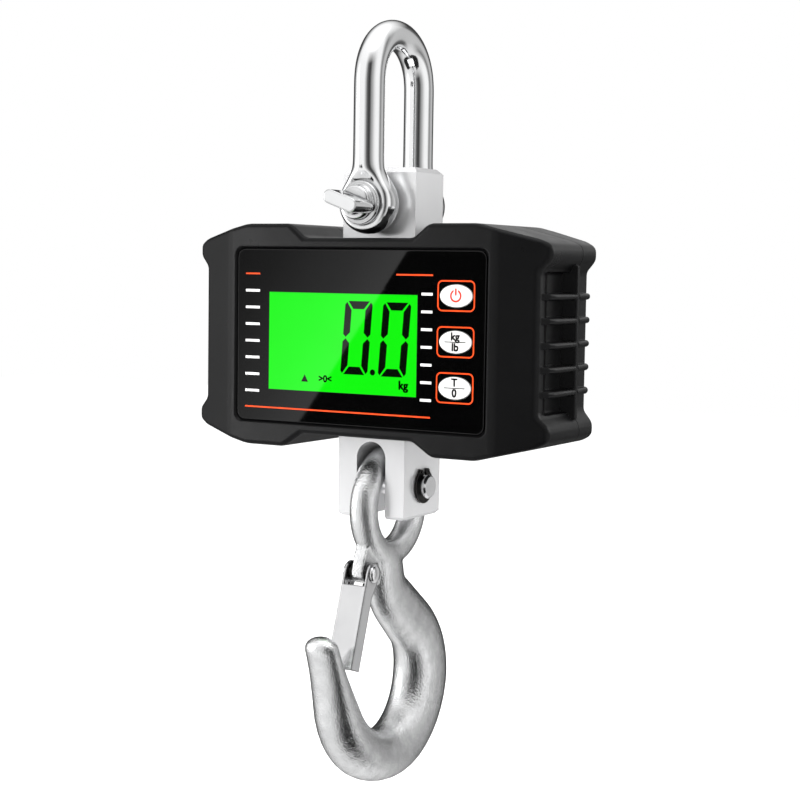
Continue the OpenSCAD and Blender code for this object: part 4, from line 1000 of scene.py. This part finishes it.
def makeKeys(p, s):
    x, face, thick = p["keyX"], p["front"] - s["below"], inkSet["raise"]
    width, height = p["keySize"]
    rear, seat = s["flangeAt"]
    stem, stemStart, stemEnd = s["stem"]
    places = dict(zip(("power_key", "hold_key", "tare_key"), p["keys"]))
    for node, (body, z) in zip(("key_power", "key_hold", "key_tare"), places.items()):
        bm = ovalPlate(width, height, x, z, seat, face)
        bevelEdges(bm, frontEdges(bm, face), s["round"], 4)
        joinInto(bm, ovalPlate(width + s["flange"], height + s["flange"], x, z, rear, seat))
        joinInto(bm, rodAlong(1, stem, stemStart, stemEnd, (x, z), 24))
        dress(toObject(bm, node.replace("_", "") + "Cap"), body, "whiteKey", "key_white", node)
    inside, outside = s["ring"]
    section = [(inside, 0), (inside, -thick), (outside, -thick), (outside, 0), (inside, 0)]
    mark = toObject(lathe(section, 48), "powerMark")
    gap, gapLow = s["gap"]
    carve(mark, [block((-gap, -1, gapLow), (gap, 1, 4))])
    half, low, high = s["stroke"]
    bm = bmesh.new()
    bm.from_mesh(mark.data)
    joinInto(bm, block((-half, -thick, low), (half, 0, high)))
    bm.to_mesh(mark.data)
    bm.free()
    mark.data.transform(Matrix.Translation(Vector((x, face, places["power_key"])) * mm))
    dress(mark, "power_key", "redInk", "key_white")
    reach, line = s["divide"]
    size, apart, weight = s["words"]
    for body, (upper, lower) in s["marks"].items():
        z = places[body]
        bm = block((x - reach, face - thick, z - line), (x + reach, face, z + line))
        joinInto(bm, lettering(upper, size, x, z + apart, face, weight))
        joinInto(bm, lettering(lower, size, x, z - apart, face, weight))
        dress(toObject(bm, body.replace("_key", "") + "Mark"), body, "blackInk", "key_white")


makePanel(panelSet)
makePrint(panelSet)
makeKeys(panelSet, keySet)
print("panel, display and keys made")

# finishes of the pieces that stay as they are

finishOf = {
    "groundSteel": ["load_cell"], "gaugeFilm": ["strain_gauges"], "sealingDisc": ["gauge_covers"],
    "turnedSteel": ["hook_pin", "latch_rivet"], "litDisplay": ["lcd_glass"], "lightGuide": ["backlight"],
    "blackedSteel": ["retaining_rings", "housing_screws", "door_screws"], "solderMask": ["main_board"],
    "zincPlate": ["cell_bracket", "bracket_screws", "board_screws", "socket_nut"],
    "blackRubber": ["top_seal", "bottom_seal", "housing_gasket", "door_seal"], "darkLens": ["ir_receiver"],
    "blackMoulding": ["key_switches", "lcd_bezel", "controller_chip", "converter_chip", "buzzer",
                      "charger_socket"],
    "greySheath": ["cell_cable"], "redSheath": ["battery_leads", "charger_leads"],
    "ivoryMoulding": ["cell_connector"], "cellSleeve": ["battery_cells"], "satinMoulding": ["battery_door"],
}
for finish, nodes in finishOf.items():
    for node in nodes:
        made = cadNodes[node]
        if not made.material_slots:
            made.data.materials.append(materials[finish])
        for place in made.material_slots:
            place.material = materials[finish]
print("finishes given to", sum(len(nodes) for nodes in finishOf.values()), "pieces")

# studio

studioSet = {
    "floor": -430, "floorReach": 3000, "floorGrey": 0.92, "floorGlow": 0.45, "camera": 1.0, "diffuse": 0.75,
    "gloss": 1.0, "above": 1.1, "below": 0.8, "aboveFrom": (0.5, 0.85), "belowFrom": (-0.35, -0.8),
    "bands": ((-180, 0.05), (-118, 0.05), (-100, 0.12), (-86, 0.84), (-60, 1.0), (-8, 1.0), (4, 0.55),
              (14, 0.16), (22, 0.08), (32, 0.035), (40, 0.14), (47, 0.36), (54, 0.43), (63, 0.65), (72, 0.86),
              (84, 1.0), (106, 1.0), (116, 0.45), (124, 0.22), (133, 0.42), (142, 0.56), (156, 0.52),
              (166, 0.12), (180, 0.05)),  # what bright metal mirrors, by direction round the object
}
panelCardSet = {
    "y": -1200, "corners": [(-980, -55), (-980, -338), (-400, -338), (-400, -55)], "slant": 0.708,
    "span": (-900, -560),
    "levels": ((0, 0.14), (0.35, 0.30), (0.7, 0.62), (0.905, 0.95), (0.911, 0.0), (1, 0.0)),
}
housingMiddle = (0, 0, -0.14)
cards = {  # place, faces, width, height, level
    "leftCard": ((-1.09, -0.58, -0.10), housingMiddle, 0.62, 1.5, 2.8),
    "topCard": ((0.15, -0.1, 0.95), housingMiddle, 1.6, 1.6, 1.6),
}
lights = {  # place, faces, width, height, watts
    "topLight": ((0.1, -0.1, 0.9), housingMiddle, 0.9, 0.9, 14),
    "leftLight": ((-0.9, -1.0, 0.3), (0, 0, -0.15), 0.8, 0.8, 10),
    "rightLight": ((1.3, 0.2, 0.2), (0, 0, -0.15), 0.7, 0.7, 6),
}
sheens = {
    "stripSheen": ((-0.92, -1.06, -0.14), (-0.09, -0.03, -0.14), 0.30, 0.9, 8.0),
    "topSheen": ((0.0, 1.2, 0.45), (0.05, 0, -0.09), 2.2, 0.6, 3.2),
    "endSheen": ((0.9, 0.9, 0.25), (0.1, 0, -0.14), 0.5, 0.7, 4),
}
flags = {  # place and size of the dark sheets, low down by the hook
    "hookFlag": ((0.187, -0.117, -0.33), (80, 1, 98)),
    "underFlag": ((0.19, -0.12, -0.427), (80, 170, 1)),
}
flagSet = {"turn": 58, "level": 0.02}


def makeFloor(s):
    low, reach = s["floor"], s["floorReach"]
    bm = bmesh.new()
    corners = ((-reach, -reach), (reach, -reach), (reach, reach), (-reach, reach))
    bm.faces.new([bm.verts.new(Vector((x, y, low)) * mm) for x, y in corners])
    made = toObject(bm, "floor")
    mat = bpy.data.materials.new("floor")
    mat.use_nodes = True
    skin = mat.node_tree.nodes["Principled BSDF"].inputs
    skin["Base Color"].default_value = (*[s["floorGrey"]] * 3, 1)
    skin["Roughness"].default_value = 0.9
    skin["Specular IOR Level"].default_value = 0.0
    skin["Emission Color"].default_value = (1, 1, 1, 1)
    skin["Emission Strength"].default_value = s["floorGlow"]
    made.data.materials.append(mat)
    made.visible_glossy = False


def turnedTo(place, aim, axis):
    return (Vector(aim) - Vector(place)).to_track_quat(axis, "Y").to_euler()


def softLight(name, place, aim, wide, tall, power):  # soft boxes; what gloss mirrors is the cards
    data = bpy.data.lights.new(name, "AREA")
    data.shape = "RECTANGLE"
    data.size = wide
    data.size_y = tall
    data.energy = power
    made = bpy.data.objects.new(name, data)
    made.location = place
    made.rotation_euler = turnedTo(place, aim, "-Z")
    made.visible_glossy = False
    bpy.context.scene.collection.objects.link(made)
    return made


def sheen(name, *spec):  # a soft box that only the moulded shells mirror
    made = softLight(name, *spec)
    made.visible_glossy = True
    made.data.use_shadow = False
    lit = bpy.data.collections.new(name)
    for shell in ("frontShell", "rearShell"):
        lit.objects.link(bpy.data.objects[shell])
    made.light_linking.receiver_collection = lit


def glowTree(made):  # gives the object a material that only shines
    mat = bpy.data.materials.new(made.name)
    mat.use_nodes = True
    mat.node_tree.nodes.clear()
    glow = put(mat.node_tree, "ShaderNodeEmission")
    put(mat.node_tree, "ShaderNodeOutputMaterial", {"Surface": glow.outputs[0]})
    made.data.materials.append(mat)
    return mat.node_tree, glow


def onlyMirrored(made):
    made.visible_camera = made.visible_diffuse = made.visible_shadow = made.visible_transmission = False


def fillRamp(ramp, stops):
    while len(ramp.elements) < len(stops):
        ramp.elements.new(0.5)
    for element, (place, level) in zip(ramp.elements, stops):
        element.position = place
        element.color = (level, level, level, 1)


def panelCard(c):  # bright and fading on one side of a slanting edge, black on the other
    made = toObject(plate(c["corners"], c["y"], c["y"] + 1), "panelCard")
    tree, glow = glowTree(made)
    where = put(tree, "ShaderNodeSeparateXYZ", {0: onObject(tree)})
    across = calc(tree, "MULTIPLY_ADD", where.outputs["Z"], -c["slant"], where.outputs["X"])
    share = ranged(tree, across, *(edge * mm for edge in c["span"]))
    shade = put(tree, "ShaderNodeValToRGB", {"Fac": share})
    fillRamp(shade.color_ramp, c["levels"])
    tree.links.new(shade.outputs[0], glow.inputs["Color"])
    onlyMirrored(made)


def softCard(name, place, aim, wide, tall, level):  # a soft box with edges that fade out
    bm = bmesh.new()
    bmesh.ops.create_grid(bm, x_segments=1, y_segments=1, size=0.5)
    made = toObject(bm, name)
    tree, glow = glowTree(made)
    centred = put(tree, "ShaderNodeVectorMath", {0: onObject(tree)}, operation="LENGTH")
    fade = put(tree, "ShaderNodeMapRange", {"Value": centred.outputs["Value"], "From Min": 0.5,
                                            "From Max": 0.05, "To Min": 0.0, "To Max": level},
               interpolation_type="SMOOTHERSTEP")
    tree.links.new(fade.outputs[0], glow.inputs["Strength"])
    clear = put(tree, "ShaderNodeBsdfTransparent")
    both = put(tree, "ShaderNodeAddShader", {0: clear.outputs[0], 1: glow.outputs[0]})
    tree.links.new(both.outputs[0], tree.nodes["Material Output"].inputs["Surface"])
    made.scale = (wide, tall, 1)
    made.location = place
    made.rotation_euler = turnedTo(place, aim, "Z")
    onlyMirrored(made)


def darkFlag(name, place, size):
    made = toObject(block((-1, -1, -1), (1, 1, 1)), name)
    glow = glowTree(made)[1]
    glow.inputs["Strength"].default_value = flagSet["level"]
    made.location = place
    made.rotation_euler = (0, 0, math.radians(flagSet["turn"]))
    made.scale = size
    onlyMirrored(made)


def makeWorld(s):
    world = bpy.data.worlds.new("studio")
    bpy.context.scene.world = world
    world.use_nodes = True
    tree = world.node_tree
    tree.nodes.clear()
    rays = put(tree, "ShaderNodeLightPath").outputs
    aim = put(tree, "ShaderNodeTexCoord").outputs["Generated"]
    where = put(tree, "ShaderNodeSeparateXYZ", {0: aim}).outputs
    turn = calc(tree, "ARCTAN2", where["X"], calc(tree, "MULTIPLY", where["Y"], -1.0))
    bands = put(tree, "ShaderNodeValToRGB", {"Fac": ranged(tree, turn, -math.pi, math.pi)})
    bands.color_ramp.interpolation = "EASE"
    fillRamp(bands.color_ramp, [((degrees + 180) / 360, level) for degrees, level in s["bands"]])
    upper = blend(tree, ranged(tree, where["Z"], *s["aboveFrom"]), bands.outputs[0], (s["above"],) * 3)
    mirrored = blend(tree, ranged(tree, where["Z"], *s["belowFrom"]), upper, (s["below"],) * 3)
    gloss = put(tree, "ShaderNodeBackground", {"Color": mirrored, "Strength": s["gloss"]})
    soft, seen = (put(tree, "ShaderNodeBackground", {"Color": (1, 1, 1, 1), "Strength": s[share]})
                  for share in ("diffuse", "camera"))
    shown = soft
    for ray, light in (("Is Glossy Ray", gloss), ("Is Camera Ray", seen)):
        shown = put(tree, "ShaderNodeMixShader", {0: rays[ray], 1: shown.outputs[0], 2: light.outputs[0]})
    put(tree, "ShaderNodeOutputWorld", {"Surface": shown.outputs[0]})


makeWorld(studioSet)
makeFloor(studioSet)
panelCard(panelCardSet)
for maker, specs in ((darkFlag, flags), (softCard, cards), (softLight, lights), (sheen, sheens)):
    for name, spec in specs.items():
        maker(name, *spec)
bpy.context.scene.view_settings.view_transform = "Standard"
print("studio made")
